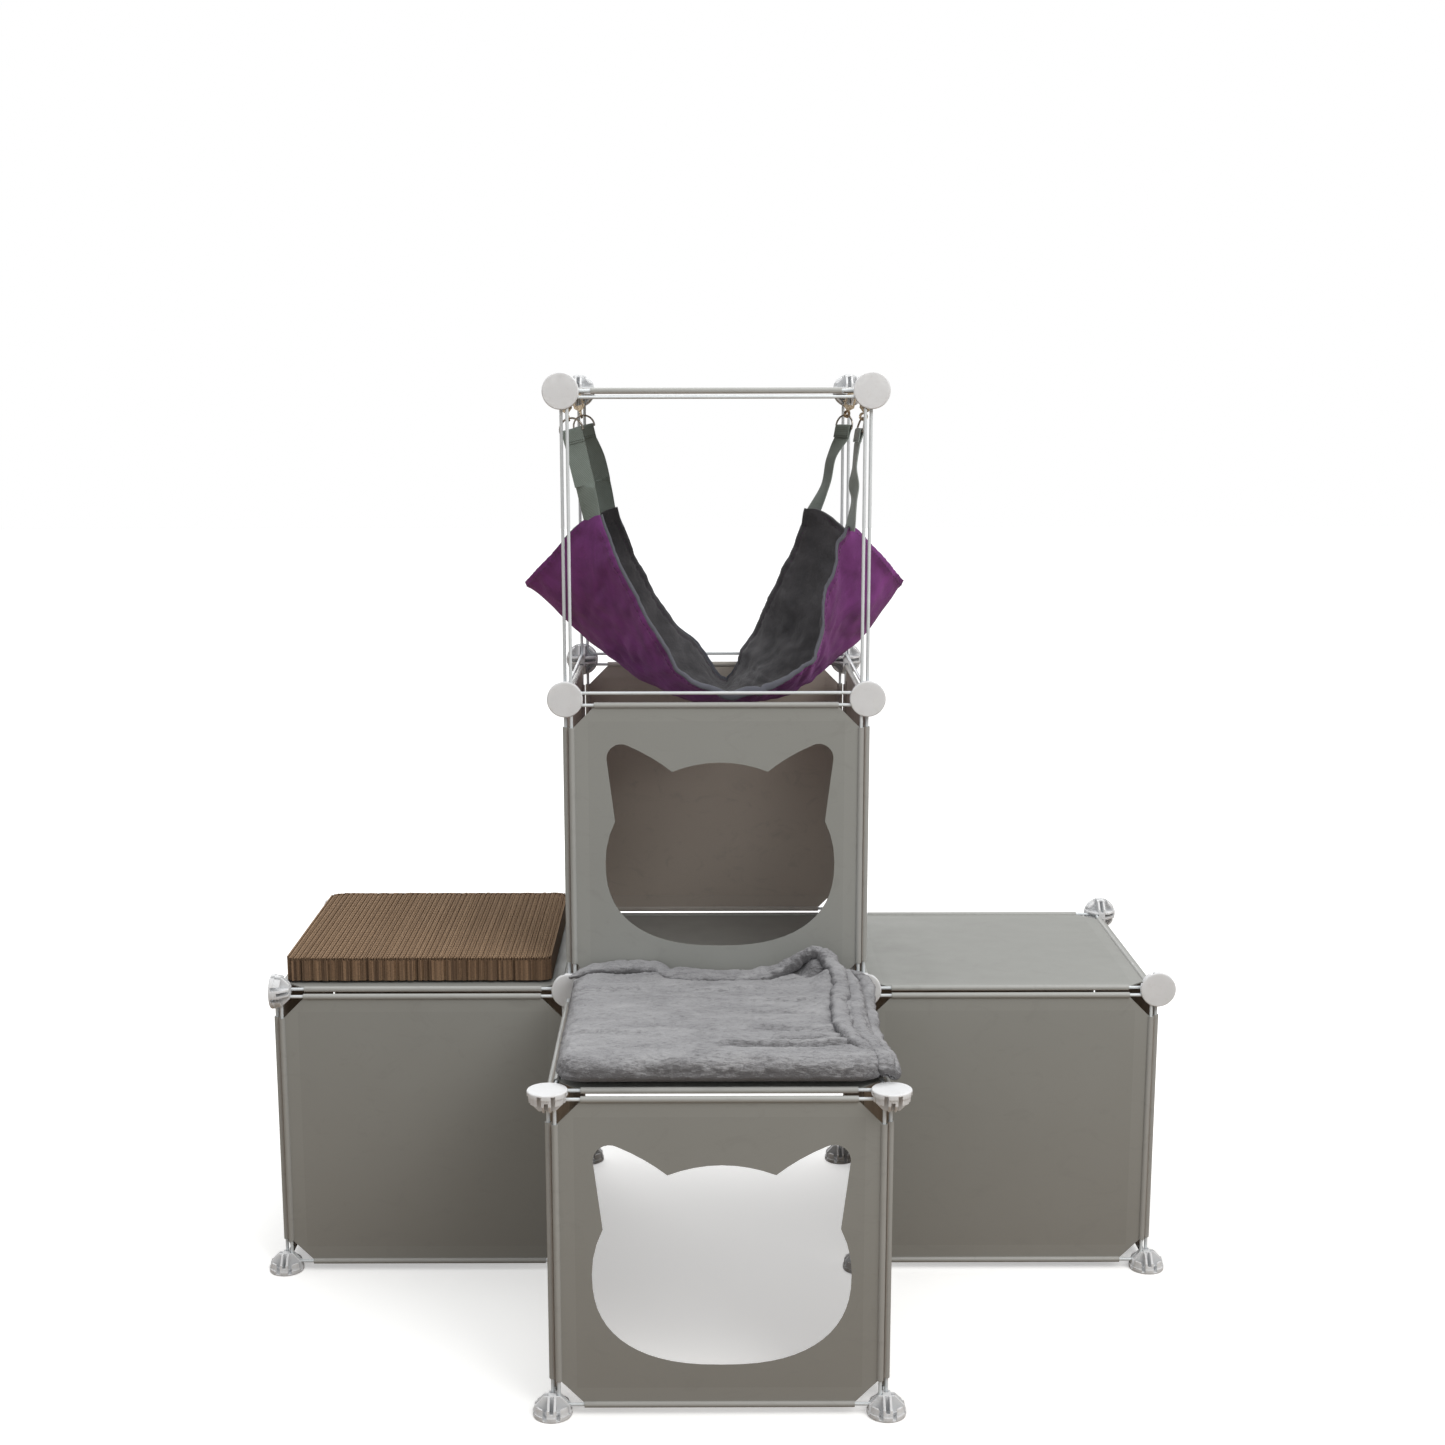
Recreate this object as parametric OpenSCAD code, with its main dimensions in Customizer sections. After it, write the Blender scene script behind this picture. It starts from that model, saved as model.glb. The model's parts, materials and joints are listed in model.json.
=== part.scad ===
// Cube-lattice cat tree: wire-framed sheet panels snapped together by disc connectors,
// with a cat-head doorway at the front of two cubes, a slung hammock, a scratch pad and a blanket.
// X runs across the front, +Y goes to the back and +Z is up. The origin is on the floor under
// the middle of the object.

/* [Lattice] */
// Distance between two neighbouring connectors
pitch = 370; // [340:1:420]
// Height of the lowest connector centres above the floor
node_height = 4.25; // [4.2:0.05:6]

/* [Wire frames] */
// Wire diameter of every square frame
wire_d = 4; // [3:0.1:4]
// Distance from a lattice line to the nearest wire centre line
ring_inset = 7.5; // [7:0.1:8.5]
// Bend radius of a frame's corners, on the wire's centre line
ring_corner_r = 10; // [8:0.5:12]

/* [Sheets] */
// Thickness of one layer of sheet
sheet_t = 0.8; // [0.6:0.1:1.2]
// Free play between a wire and the hem around it
hem_play = 0.8; // [0.1:0.1:1]
// Width of the turned-in flap behind each edge
flap_w = 20; // [12:1:30]
// Length of each side that the corner cut takes off, measured from the frame's corner
corner_cut = 28; // [24:1:40]

/* [Cat doorway] */
// Half of the doorway's width at the cheeks
cheek_x = 142; // [135:1:146]
// Height of the widest place above the lattice line below
cheek_z = 163; // [158:1:168]
// Height of the doorway's lowest point
chin_z = 56; // [48:1:66]
// How square the cheeks are: 2 is an ellipse
cheek_fullness = 2.45; // [2:0.05:3]
// Height of the crown between the ears
crown_z = 289; // [286:1:292]
// Half of the crown's width, where the ears begin
crown_x = 59; // [56:1:62]
// Rounding of the ear tips
ear_r = 18; // [14:1:20]
// Sideways offset of the front cube's doorway
front_door_x = 2.5; // [-5:0.5:5]
// Upward offset of the front cube's doorway
front_door_z = -1.5; // [-5:0.5:5]
// Sideways offset of the middle cube's doorway
middle_door_x = 4.5; // [-5:0.5:5]
// Upward offset of the middle cube's doorway
middle_door_z = 2; // [-5:0.5:5]

/* [Connectors] */
// Diameter of the round disc
disc_d = 44; // [40:1:48]
// Thickness of the disc at its rim
disc_t = 5.8; // [4.6:0.1:6]
// Depth of the collar below the disc
collar_depth = 7.8; // [7.6:0.1:9]
// Depth of the ribs below the lattice node
rib_depth = 19; // [16:0.5:20]
// Wall thickness of a rib
rib_t = 2.5; // [2:0.1:2.8]
// Width of a slot that a wire lies in
slot_w = 4.6; // [4.4:0.1:5]

/* [Scratch pad] */
// Width of the corrugated pad
pad_w = 337; // [300:1:338]
// Depth of the corrugated pad
pad_d = 331; // [300:1:332]
// Thickness of the corrugated pad
pad_t = 32; // [20:1:50]

/* [Blanket] */
// Width of the folded blanket
blanket_w = 350; // [300:1:352]
// Depth of the folded blanket
blanket_d = 346; // [300:1:348]
// Thickness of the folded blanket
blanket_t = 33; // [24:1:45]

/* [Hammock] */
// Half of the distance between the left and right corners
corner_x = 150; // [140:1:155]
// Height of the corners above the lowest lattice level
corner_z = 958; // [950:1:965]
// Half of the distance between the pointed ends
tip_x = 245; // [230:1:250]
// Height of the pointed ends
tip_z = 867; // [855:1:880]
// Height of the keel's lowest point
keel_z = 708; // [705:1:715]
// Height of the long edges at their lowest point
edge_z = 727; // [722:1:740]
// Half of the bed's width at the middle
bed_half_w = 176; // [165:1:177]
// Distance of the straps from the bay's front and back
strap_inset = 50; // [45:1:60]
// Thickness of the two-layer bed
bed_t = 5; // [3:0.5:6]
// Width of the webbing straps
strap_w = 25; // [20:1:25]
// Thickness of the webbing
strap_t = 1.8; // [1.5:0.1:2.5]
// Turn of the front right strap on its hook's swivel, from facing the front
front_right_swivel = 80; // [0:5:90]
// Turn of the back right strap on its hook's swivel
back_right_swivel = 45; // [0:5:90]

/* [Hidden] */

// Cube centres, counted in pitches
FRONT_CUBE = [0, -0.5, 0.5];
CENTRE_CUBE = [0, 0.5, 0.5];
LEFT_CUBE = [-1, 0.5, 0.5];
RIGHT_CUBE = [1, 0.5, 0.5];
MIDDLE_CUBE = [0, 0.5, 1.5];
HAMMOCK_BAY = [0, 0.5, 2.5];

wire_r = wire_d / 2;
half_ring = pitch / 2 - ring_inset;
hem_in_r = wire_r + hem_play;
hem_out_r = hem_in_r + sheet_t;
hem_half = half_ring - corner_cut;
eps = 0.01;

sheet_colour = [0.58, 0.59, 0.56];
wire_colour = [0.80, 0.84, 0.86];
connector_colour = [0.90, 0.90, 0.91];
card_colour = [0.52, 0.41, 0.29];
plush_colour = [0.56, 0.56, 0.57];
nylon_colour = [0.36, 0.15, 0.36];
webbing_colour = [0.36, 0.42, 0.39];
metal_colour = [0.72, 0.68, 0.58];

// ---------- placing ----------

// The step from a cube's centre to one of its faces, in pitches
function face_step(face) =
    face == "front" ? [0, -0.5, 0] :
    face == "back" ? [0, 0.5, 0] :
    face == "left" ? [-0.5, 0, 0] :
    face == "right" ? [0.5, 0, 0] : [0, 0, 0.5];

// The turn that lays a panel drawn flat in XY on that face, with its outer side outwards
function face_turn(face) =
    face == "front" ? [90, 0, 0] :
    face == "back" ? [90, 0, 180] :
    face == "left" ? [90, 0, -90] :
    face == "right" ? [90, 0, 90] : [0, 0, 0];

// The turn that points a connector's disc along a direction
function disc_turn(side) =
    side == "front" ? [90, 0, 0] :
    side == "back" ? [-90, 0, 0] :
    side == "left" ? [0, -90, 0] :
    side == "down" ? [180, 0, 0] : [0, 0, 0];

module on_face(cube, face) {
    translate(pitch * (cube + face_step(face)) + [0, 0, node_height])
        rotate(face_turn(face))
            children();
}

// ---------- wire frames ----------

// A square of round wire with bent corners, lying flat
module wire_ring() {
    straight = half_ring - ring_corner_r;
    color(wire_colour)
        for (turn = [0 : 90 : 270])
            rotate([0, 0, turn]) {
                translate([half_ring, straight, 0])
                    rotate([90, 0, 0])
                        cylinder(r = wire_r, h = 2 * straight, $fn = 24);
                translate([straight, straight, 0])
                    rotate_extrude(angle = 90, $fn = 48)
                        translate([ring_corner_r, 0])
                            circle(r = wire_r, $fn = 24);
            }
}

module wires(cube, faces) {
    for (face = faces)
        on_face(cube, face) wire_ring();
}

// ---------- sheets ----------

// Points of an arc of radius r that rounds the corner at p, between the points before and after
function rounded_corner(before, p, after, r, steps = 8) =
    let (
        u = (before - p) / norm(before - p),
        v = (after - p) / norm(after - p),
        half = acos(u * v) / 2,
        mid = (u + v) / norm(u + v),
        centre = p + mid * r / sin(half),
        a0 = p + u * r / tan(half) - centre,
        a1 = p + v * r / tan(half) - centre,
        start = atan2(a0.y, a0.x),
        sweep = atan2(a1.y, a1.x) - start,
        turn = sweep > 180 ? sweep - 360 : sweep < -180 ? sweep + 360 : sweep)
    [for (i = [0 : steps]) centre + r * [cos(start + turn * i / steps), sin(start + turn * i / steps)]];

// Point of a quadratic curve from a to b that leans towards c
function curve_point(a, c, b, f) = (1 - f) * (1 - f) * a + 2 * f * (1 - f) * c + f * f * b;

// Right half of the doorway, from the chin round the cheek and the ear to the crown,
// measured from the middle of the lattice line below
function doorway_half() =
    let (
        power = 2 / cheek_fullness,
        chin_sweep = [for (a = [-90 : 6 : 0])
            [cheek_x * pow(cos(a), power), cheek_z - (cheek_z - chin_z) * pow(-sin(a), power)]],
        cheek_rise = 128,
        cheek_sweep = [for (a = [8 : 8 : 24]) [cheek_x * cos(a), cheek_z + cheek_rise * sin(a)]],
        ear_root = cheek_sweep[len(cheek_sweep) - 1],
        ear_apex = [cheek_x + 1.5, crown_z + 36],
        ear_lean = [crown_x + 7, crown_z - 2],
        ear = rounded_corner(ear_root, ear_apex, ear_lean, ear_r),
        crown_dip = 11.5,
        crown_end = [crown_x, crown_z - crown_dip],
        ear_side = [for (f = [0.25 : 0.25 : 1])
            curve_point(ear[len(ear) - 1], [crown_x + 24, crown_z + 8], crown_end, f)],
        crown = [for (f = [0.75, 0.5, 0.25, 0])
            [crown_x * f, crown_z - crown_dip * f * f]])
    concat(chin_sweep, cheek_sweep, ear, ear_side, crown);

module doorway_outline() {
    half = doorway_half();
    mirrored = [for (i = [len(half) - 2 : -1 : 1]) [-half[i].x, half[i].y]];
    translate([0, -pitch / 2])
        polygon(concat(half, mirrored));
}

// The sheet's flat outline, an octagon inside the frame
module sheet_outline(reach) {
    polygon([[reach, -hem_half], [reach, hem_half], [hem_half, reach], [-hem_half, reach],
             [-reach, hem_half], [-reach, -hem_half], [-hem_half, -reach], [hem_half, -reach]]);
}

// One sheet: a flat web, turned-in flaps behind its edges and a tubular hem round each wire.
// A doorway is cut where its sideways and upward offset is given.
module sheet(doorway = undef) {
    web = half_ring - wire_r;
    color(sheet_colour)
        difference() {
            union() {
                translate([0, 0, -sheet_t / 2])
                    linear_extrude(sheet_t)
                        sheet_outline(web);
                translate([0, 0, -1.5 * sheet_t])
                    linear_extrude(sheet_t + eps)
                        difference() {
                            sheet_outline(web);
                            square(2 * (half_ring - flap_w), center = true);
                        }
                for (turn = [0 : 90 : 270])
                    rotate([0, 0, turn])
                        translate([half_ring, hem_half, 0])
                            rotate([90, 0, 0])
                                cylinder(r = hem_out_r, h = 2 * hem_half, $fn = 32);
            }
            for (turn = [0 : 90 : 270])
                rotate([0, 0, turn])
                    translate([half_ring, half_ring, 0])
                        rotate([90, 0, 0])
                            cylinder(r = hem_in_r, h = 2 * half_ring, $fn = 32);
            if (!is_undef(doorway))
                translate([doorway.x, doorway.y, -2 * sheet_t])
                    linear_extrude(4 * sheet_t)
                        doorway_outline();
        }
}

module front_cube_front_sheet() { on_face(FRONT_CUBE, "front") sheet([front_door_x, front_door_z]); }
module front_cube_left_sheet() { on_face(FRONT_CUBE, "left") sheet(); }
module front_cube_right_sheet() { on_face(FRONT_CUBE, "right") sheet(); }
module front_cube_top_sheet() { on_face(FRONT_CUBE, "top") sheet(); }
module left_cube_front_sheet() { on_face(LEFT_CUBE, "front") sheet(); }
module left_cube_side_sheet() { on_face(LEFT_CUBE, "left") sheet(); }
module left_cube_back_sheet() { on_face(LEFT_CUBE, "back") sheet(); }
module left_cube_top_sheet() { on_face(LEFT_CUBE, "top") sheet(); }
module right_cube_front_sheet() { on_face(RIGHT_CUBE, "front") sheet(); }
module right_cube_side_sheet() { on_face(RIGHT_CUBE, "right") sheet(); }
module right_cube_back_sheet() { on_face(RIGHT_CUBE, "back") sheet(); }
module right_cube_top_sheet() { on_face(RIGHT_CUBE, "top") sheet(); }
module middle_cube_floor_sheet() { on_face(CENTRE_CUBE, "top") sheet(); }
module middle_cube_front_sheet() {
    on_face(MIDDLE_CUBE, "front") sheet([middle_door_x, middle_door_z]);
}
module middle_cube_left_sheet() { on_face(MIDDLE_CUBE, "left") sheet(); }
module middle_cube_right_sheet() { on_face(MIDDLE_CUBE, "right") sheet(); }
module middle_cube_back_sheet() { on_face(MIDDLE_CUBE, "back") sheet(); }
module top_perch_sheet() { on_face(HAMMOCK_BAY, "top") sheet(); }

module front_cube_wires() { wires(FRONT_CUBE, ["front", "left", "right", "top"]); }
module left_cube_wires() { wires(LEFT_CUBE, ["front", "left", "back", "top"]); }
module right_cube_wires() { wires(RIGHT_CUBE, ["front", "right", "back", "top"]); }
module middle_cube_wires() {
    wires(MIDDLE_CUBE, ["front", "left", "right", "back"]);
    wires(CENTRE_CUBE, ["top"]);
}
module top_perch_wire() { wires(HAMMOCK_BAY, ["top"]); }
module hammock_bay_front_frame() { wires(HAMMOCK_BAY, ["front"]); }
module hammock_bay_back_frame() { wires(HAMMOCK_BAY, ["back"]); }
module hammock_bay_left_frame() { wires(HAMMOCK_BAY, ["left"]); }
module hammock_bay_right_frame() { wires(HAMMOCK_BAY, ["right"]); }

// ---------- connectors ----------

// Flat outline of everything outside a corner whose two sides lie at distance a from the axes
module quadrant_field(a, r) {
    translate([a + r, a + r]) circle(r = r, $fn = 64);
    translate([a + r, a]) square([disc_d, disc_d]);
    translate([a, a + r]) square([disc_d, disc_d]);
}

// Flat outline of the channel that a frame lying parallel to the disc needs
module frame_channel() {
    half = slot_w / 2;
    for (turn = [0 : 90 : 270])
        rotate(turn)
            difference() {
                quadrant_field(ring_inset - half, ring_corner_r + half);
                quadrant_field(ring_inset + half, ring_corner_r - half);
            }
}

// Flat outline of the crossed pairs of ribs
module rib_cross() {
    outer = slot_w / 2 + rib_t;
    difference() {
        union() {
            square([disc_d, 2 * outer], center = true);
            square([2 * outer, disc_d], center = true);
        }
        slot_cross();
    }
}

// Flat outline of the crossed slots that upright frames need
module slot_cross() {
    square([disc_d + 1, slot_w], center = true);
    square([slot_w, disc_d + 1], center = true);
}

// One snap connector. The lattice node is the origin and the disc faces +Z.
module connector() {
    face_z = node_height;
    rim_z = face_z - disc_t;
    collar_end = rim_z - collar_depth;
    disc_r = disc_d / 2;
    collar_r = disc_r - 1.2;
    collar_taper = 0.8;
    collar_wall = 2.2;
    play = 0.2;
    roof_z = wire_r + play;
    slot_roof_z = -ring_inset + wire_r + play;
    shoulder = 1.2;
    rim_bevel = 0.4;
    waist_r = 14.5;
    waist_z = (collar_end - rib_depth) / 2;
    tip_r = 10;
    post_play = 0.9;
    post_r = ring_inset - wire_r - post_play;
    color(connector_colour) {
        difference() {
            rotate_extrude($fn = 64)
                polygon([[0, rim_z], [collar_r - collar_wall, rim_z],
                         [collar_r - collar_wall - collar_taper, collar_end],
                         [collar_r - collar_taper, collar_end], [collar_r, rim_z], [disc_r, rim_z],
                         [disc_r, face_z - shoulder], [disc_r - rim_bevel, face_z - rim_bevel],
                         [disc_r - shoulder, face_z], [0, face_z]]);
            translate([0, 0, collar_end - 1])
                linear_extrude(roof_z - collar_end + 1)
                    frame_channel();
            translate([0, 0, collar_end - 1])
                linear_extrude(slot_roof_z - collar_end + 1)
                    slot_cross();
        }
        intersection() {
            translate([0, 0, -rib_depth])
                linear_extrude(rib_depth + rim_z + eps)
                    rib_cross();
            rotate_extrude($fn = 64)
                polygon([[0, -rib_depth], [tip_r, -rib_depth], [waist_r, waist_z],
                         [collar_r - collar_wall, collar_end], [collar_r - collar_wall, rim_z + 1],
                         [0, rim_z + 1]]);
        }
        translate([0, 0, -rib_depth])
            cylinder(r = post_r, h = rib_depth + rim_z + eps, $fn = 32);
    }
}

// Connectors at the given lattice nodes, counted in pitches, with their discs facing one side
module connectors(nodes, side) {
    for (n = nodes)
        translate(pitch * n + [0, 0, node_height])
            rotate(disc_turn(side))
                connector();
}

module foot_connectors() {
    connectors([for (x = [-1.5 : 1 : 1.5], y = [0, 1]) [x, y, 0]], "down");
    connectors([[-0.5, -1, 0], [0.5, -1, 0]], "down");
}
module front_cube_top_connectors() { connectors([[-0.5, -1, 1], [0.5, -1, 1]], "up"); }
module low_level_connectors() {
    connectors([[-1.5, 0, 1], [-1.5, 1, 1]], "left");
    connectors([for (x = [-0.5 : 1 : 1.5]) [x, 0, 1]], "front");
    connectors([for (x = [-0.5 : 1 : 1.5]) [x, 1, 1]], "back");
}
module middle_level_connectors() {
    connectors([[-0.5, 0, 2], [0.5, 0, 2]], "front");
    connectors([[-0.5, 1, 2], [0.5, 1, 2]], "back");
}
module top_level_connectors() {
    connectors([[-0.5, 0, 3], [0.5, 0, 3]], "front");
    connectors([[-0.5, 1, 3], [0.5, 1, 3]], "back");
}

// ---------- loose pieces ----------

// Loose pieces lie this far above the lattice level, just over the hems
rest_gap = hem_out_r + 0.3;

module scratch_pad() {
    front_corner_r = 12;
    back_corner_r = 20;
    left = -1.5 * pitch + 8.5;
    front = 30;
    color(card_colour)
        translate([left, front, node_height + pitch + rest_gap])
            linear_extrude(pad_t) {
                for (x = [front_corner_r, pad_w - front_corner_r])
                    translate([x, front_corner_r]) circle(r = front_corner_r, $fn = 32);
                for (x = [back_corner_r, pad_w - back_corner_r])
                    translate([x, pad_d - back_corner_r]) circle(r = back_corner_r, $fn = 32);
                translate([front_corner_r, 0]) square([pad_w - 2 * front_corner_r, back_corner_r]);
                translate([back_corner_r, 0]) square([pad_w - 2 * back_corner_r, pad_d]);
                translate([0, front_corner_r])
                    square([pad_w, pad_d - front_corner_r - back_corner_r]);
            }
}

// A folded blanket with one bunched-up corner at the back right
module blanket() {
    edge_r = blanket_t / 2;
    plan_r = 26;
    left = -171;
    back = -9;
    bunch_r = 24;
    base = node_height + pitch + rest_gap;
    color(plush_colour) {
        hull()
            for (x = [left + plan_r, left + blanket_w - plan_r],
                 y = [back - plan_r, back - blanket_d + plan_r])
                translate([x, y, base + edge_r])
                    rotate_extrude($fn = 32) {
                        translate([plan_r - edge_r, 0]) intersection() {
                            circle(r = edge_r, $fn = 24);
                            translate([0, -edge_r]) square([edge_r, 2 * edge_r]);
                        }
                        translate([0, -edge_r]) square([plan_r - edge_r + eps, 2 * edge_r]);
                    }
        hull()
            for (p = [[112, -44, 40], [128, -90, 28], [148, -46, 34]])
                translate([p.x, p.y, base + p.z])
                    sphere(r = bunch_r, $fn = 32);
    }
}

// ---------- hammock ----------

bed_mid_y = pitch / 2;
corner_half_y = bed_mid_y - strap_inset;
keel_power = 1.7;
edge_power = 1.5;
bed_rings = 20;
bed_columns = 14;

// A point of the bed: s runs from the left end to the right, t from the front edge to the back
function bed_point(s, t) =
    let (
        a = abs(s),
        c = abs(t),
        keel = keel_z + (tip_z - keel_z) * pow(a, keel_power),
        edge = edge_z + (corner_z - edge_z) * pow(a, edge_power),
        half_w = bed_half_w + (corner_half_y - bed_half_w) * a * a)
    [s * (tip_x + (corner_x - tip_x) * c),
     bed_mid_y + t * half_w,
     node_height + keel + (edge - keel) * pow(c, 2 - a)];

// The bed's upward normal at that point
function bed_normal(s, t) =
    let (
        h = 0.01,
        along = bed_point(min(s + h, 1), t) - bed_point(max(s - h, -1), t),
        across = bed_point(s, min(t + h, 1)) - bed_point(s, max(t - h, -1)),
        n = cross(along, across))
    n / norm(n);

module hammock_bed() {
    columns = bed_columns + 1;
    count = (bed_rings + 1) * columns;
    grid = [for (i = [0 : bed_rings], j = [0 : bed_columns])
        [2 * i / bed_rings - 1, 2 * j / bed_columns - 1]];
    top = [for (g = grid) bed_point(g.x, g.y) + bed_t / 2 * bed_normal(g.x, g.y)];
    bottom = [for (g = grid) bed_point(g.x, g.y) - bed_t / 2 * bed_normal(g.x, g.y)];
    upper_faces = [for (i = [0 : bed_rings - 1], j = [0 : bed_columns - 1])
        let (k = i * columns + j)
        each [[k, k + 1, k + columns + 1], [k, k + columns + 1, k + columns]]];
    lower_faces = [for (f = upper_faces) [f[2] + count, f[1] + count, f[0] + count]];
    rim = concat(
        [for (j = [0 : bed_columns - 1]) j],
        [for (i = [0 : bed_rings - 1]) i * columns + bed_columns],
        [for (j = [bed_columns : -1 : 1]) bed_rings * columns + j],
        [for (i = [bed_rings : -1 : 1]) i * columns]);
    rim_faces = [for (n = [0 : len(rim) - 1])
        let (a = rim[n], b = rim[(n + 1) % len(rim)])
        each [[b, a, a + count], [b, a + count, b + count]]];
    color(nylon_colour)
        polyhedron(concat(top, bottom), concat(upper_faces, lower_faces, rim_faces));
}

// Each sling hangs from the side frame's top wire, in a plane across the tree
hang_z = 3 * pitch - ring_inset;
sling_run = pitch / 2 - corner_x;
sling_drop = hang_z - corner_z;
sling_length = norm([sling_run, sling_drop]);
sling_tilt = atan2(sling_run, sling_drop);

// Moves a sling piece drawn under the origin to its corner: side -1 is left, 1 is right
module at_sling(side, y) {
    translate([side * pitch / 2, y, node_height + hang_z])
        mirror([side > 0 ? 1 : 0, 0, 0])
            rotate([0, -sling_tilt, 0])
                children();
}

hook_slot_r = 4.5;
hook_wall = 2.8;
hook_t = 3.2;
hook_top_gap = 0.1;
slot_foot_z = -12;
claw_foot_z = -15;
neck_r = 2;
neck_z = -19.4;
collar_h = 2;
fork_w = 2;
fork_play = 0.5;
fork_rise = 15;
// Centre of the round top of the hook's slot
hook_arc_z = wire_r + hook_top_gap - hook_slot_r;
nose_z = -4.1;
gate_pin_x = hook_slot_r + hook_wall / 2;
gate_pin_z = -13;
gate_pin_r = 0.6;
gate_eye_r = 1.9;
eye_z = -24.5;
eye_hole_r = 2.75;
eye_r = 5.2;
eye_t = 3;
ring_wire_r = 1.2;
ring_r = 14;
ring_top_z = eye_z - (eye_hole_r - ring_wire_r - 0.1);
ring_centre_z = ring_top_z - ring_r;
ring_bar_z = ring_centre_z - 2;

// Trigger snap hook: a claw over the wire, a neck and a swivel eye that the D-ring goes through
module hook(swivel = 0) {
    claw_r = hook_slot_r + hook_wall;
    collar_z = eye_z + eye_r - 1.2;
    color(metal_colour) {
        difference() {
            union() {
                translate([0, hook_t / 2, hook_arc_z])
                    rotate([90, 0, 0])
                        cylinder(r = claw_r, h = hook_t, $fn = 48);
                translate([-claw_r, -hook_t / 2, claw_foot_z])
                    cube([2 * claw_r, hook_t, hook_arc_z - claw_foot_z]);
                translate([0, hook_t / 2, 0])
                    rotate([90, 0, 0])
                        linear_extrude(hook_t)
                            polygon([[-claw_r, claw_foot_z], [claw_r, claw_foot_z],
                                     [neck_r, neck_z], [-neck_r, neck_z]]);
            }
            translate([0, hook_t, hook_arc_z])
                rotate([90, 0, 0])
                    cylinder(r = hook_slot_r, h = 2 * hook_t, $fn = 48);
            translate([-hook_slot_r, -hook_t, slot_foot_z])
                cube([2 * hook_slot_r, 2 * hook_t, hook_arc_z - slot_foot_z]);
            translate([hook_slot_r - eps, -hook_t, slot_foot_z])
                cube([2 * hook_wall, 2 * hook_t, nose_z - slot_foot_z]);
            // Fork for the gate's foot
            translate([gate_pin_x - gate_eye_r - fork_play, -fork_w / 2, claw_foot_z - 0.2])
                cube([2 * gate_eye_r + 3 * fork_play, fork_w, fork_rise]);
            translate([gate_pin_x, hook_t, gate_pin_z])
                rotate([90, 0, 0])
                    cylinder(r = gate_pin_r, h = 2 * hook_t, $fn = 24);
        }
        translate([0, 0, collar_z])
            cylinder(r = neck_r, h = collar_h, $fn = 24);
        rotate([0, 0, swivel])
            translate([-eye_t / 2, 0, eye_z])
                rotate([0, 90, 0])
                    difference() {
                        cylinder(r = eye_r, h = eye_t, $fn = 48);
                        translate([0, 0, -1])
                            cylinder(r = eye_hole_r, h = eye_t + 2, $fn = 48);
                    }
    }
}

// Sprung gate that closes the claw, with a thumb stud on its outside
module gate() {
    arm_t = 1.7;
    arm_w = 2;
    arm_top = nose_z - 0.2;
    stud_r = 0.85;
    stud_l = 3.4;
    stud_z = -8.5;
    color(metal_colour)
        difference() {
            union() {
                translate([gate_pin_x, arm_t / 2, gate_pin_z])
                    rotate([90, 0, 0])
                        cylinder(r = gate_eye_r - 0.2, h = arm_t, $fn = 32);
                translate([gate_pin_x - arm_w / 2, -arm_t / 2, gate_pin_z])
                    cube([arm_w, arm_t, arm_top - gate_pin_z]);
                translate([gate_pin_x, 0, stud_z])
                    rotate([0, 90, 0])
                        cylinder(r = stud_r, h = stud_l, $fn = 24);
            }
            translate([gate_pin_x, hook_t, gate_pin_z])
                rotate([90, 0, 0])
                    cylinder(r = gate_pin_r + 0.06, h = 2 * hook_t, $fn = 24);
        }
}

module gate_pin() {
    color(metal_colour)
        translate([gate_pin_x, hook_t / 2, gate_pin_z])
            rotate([90, 0, 0])
                cylinder(r = gate_pin_r, h = hook_t, $fn = 24);
}

// D-ring: a half circle through the hook's eye and a straight bar for the strap
module d_ring() {
    color(metal_colour)
        rotate([90, 0, 0]) {
            translate([0, ring_centre_z, 0])
                rotate_extrude(angle = 180, $fn = 64)
                    translate([ring_r, 0])
                        circle(r = ring_wire_r, $fn = 24);
            for (x = [-ring_r, ring_r])
                translate([x, ring_bar_z, 0])
                    rotate([-90, 0, 0])
                        cylinder(r = ring_wire_r, h = ring_centre_z - ring_bar_z, $fn = 24);
            for (x = [-ring_r, ring_r])
                translate([x, ring_bar_z, 0])
                    sphere(r = ring_wire_r, $fn = 24);
            translate([-ring_r, ring_bar_z, 0])
                rotate([0, 90, 0])
                    cylinder(r = ring_wire_r, h = 2 * ring_r, $fn = 24);
        }
}

// Webbing strap: a loop sewn round the ring's bar and a flat run down to the bed's corner
module strap() {
    end_gap = 4;
    loop_in_r = ring_wire_r + 0.15;
    loop_out_r = loop_in_r + strap_t;
    sewn_l = 16;
    color(webbing_colour)
        difference() {
            union() {
                translate([-strap_w / 2, 0, ring_bar_z])
                    rotate([0, 90, 0])
                        cylinder(r = loop_out_r, h = strap_w, $fn = 32);
                translate([-strap_w / 2, -strap_t, ring_bar_z - sewn_l])
                    cube([strap_w, 2 * strap_t, sewn_l]);
                translate([-strap_w / 2, -strap_t / 2, end_gap - sling_length])
                    cube([strap_w, strap_t, sling_length - end_gap + ring_bar_z]);
            }
            translate([-strap_w, 0, ring_bar_z])
                rotate([0, 90, 0])
                    cylinder(r = loop_in_r, h = 2 * strap_w, $fn = 32);
        }
}

front_y = strap_inset;
back_y = pitch - strap_inset;

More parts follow.
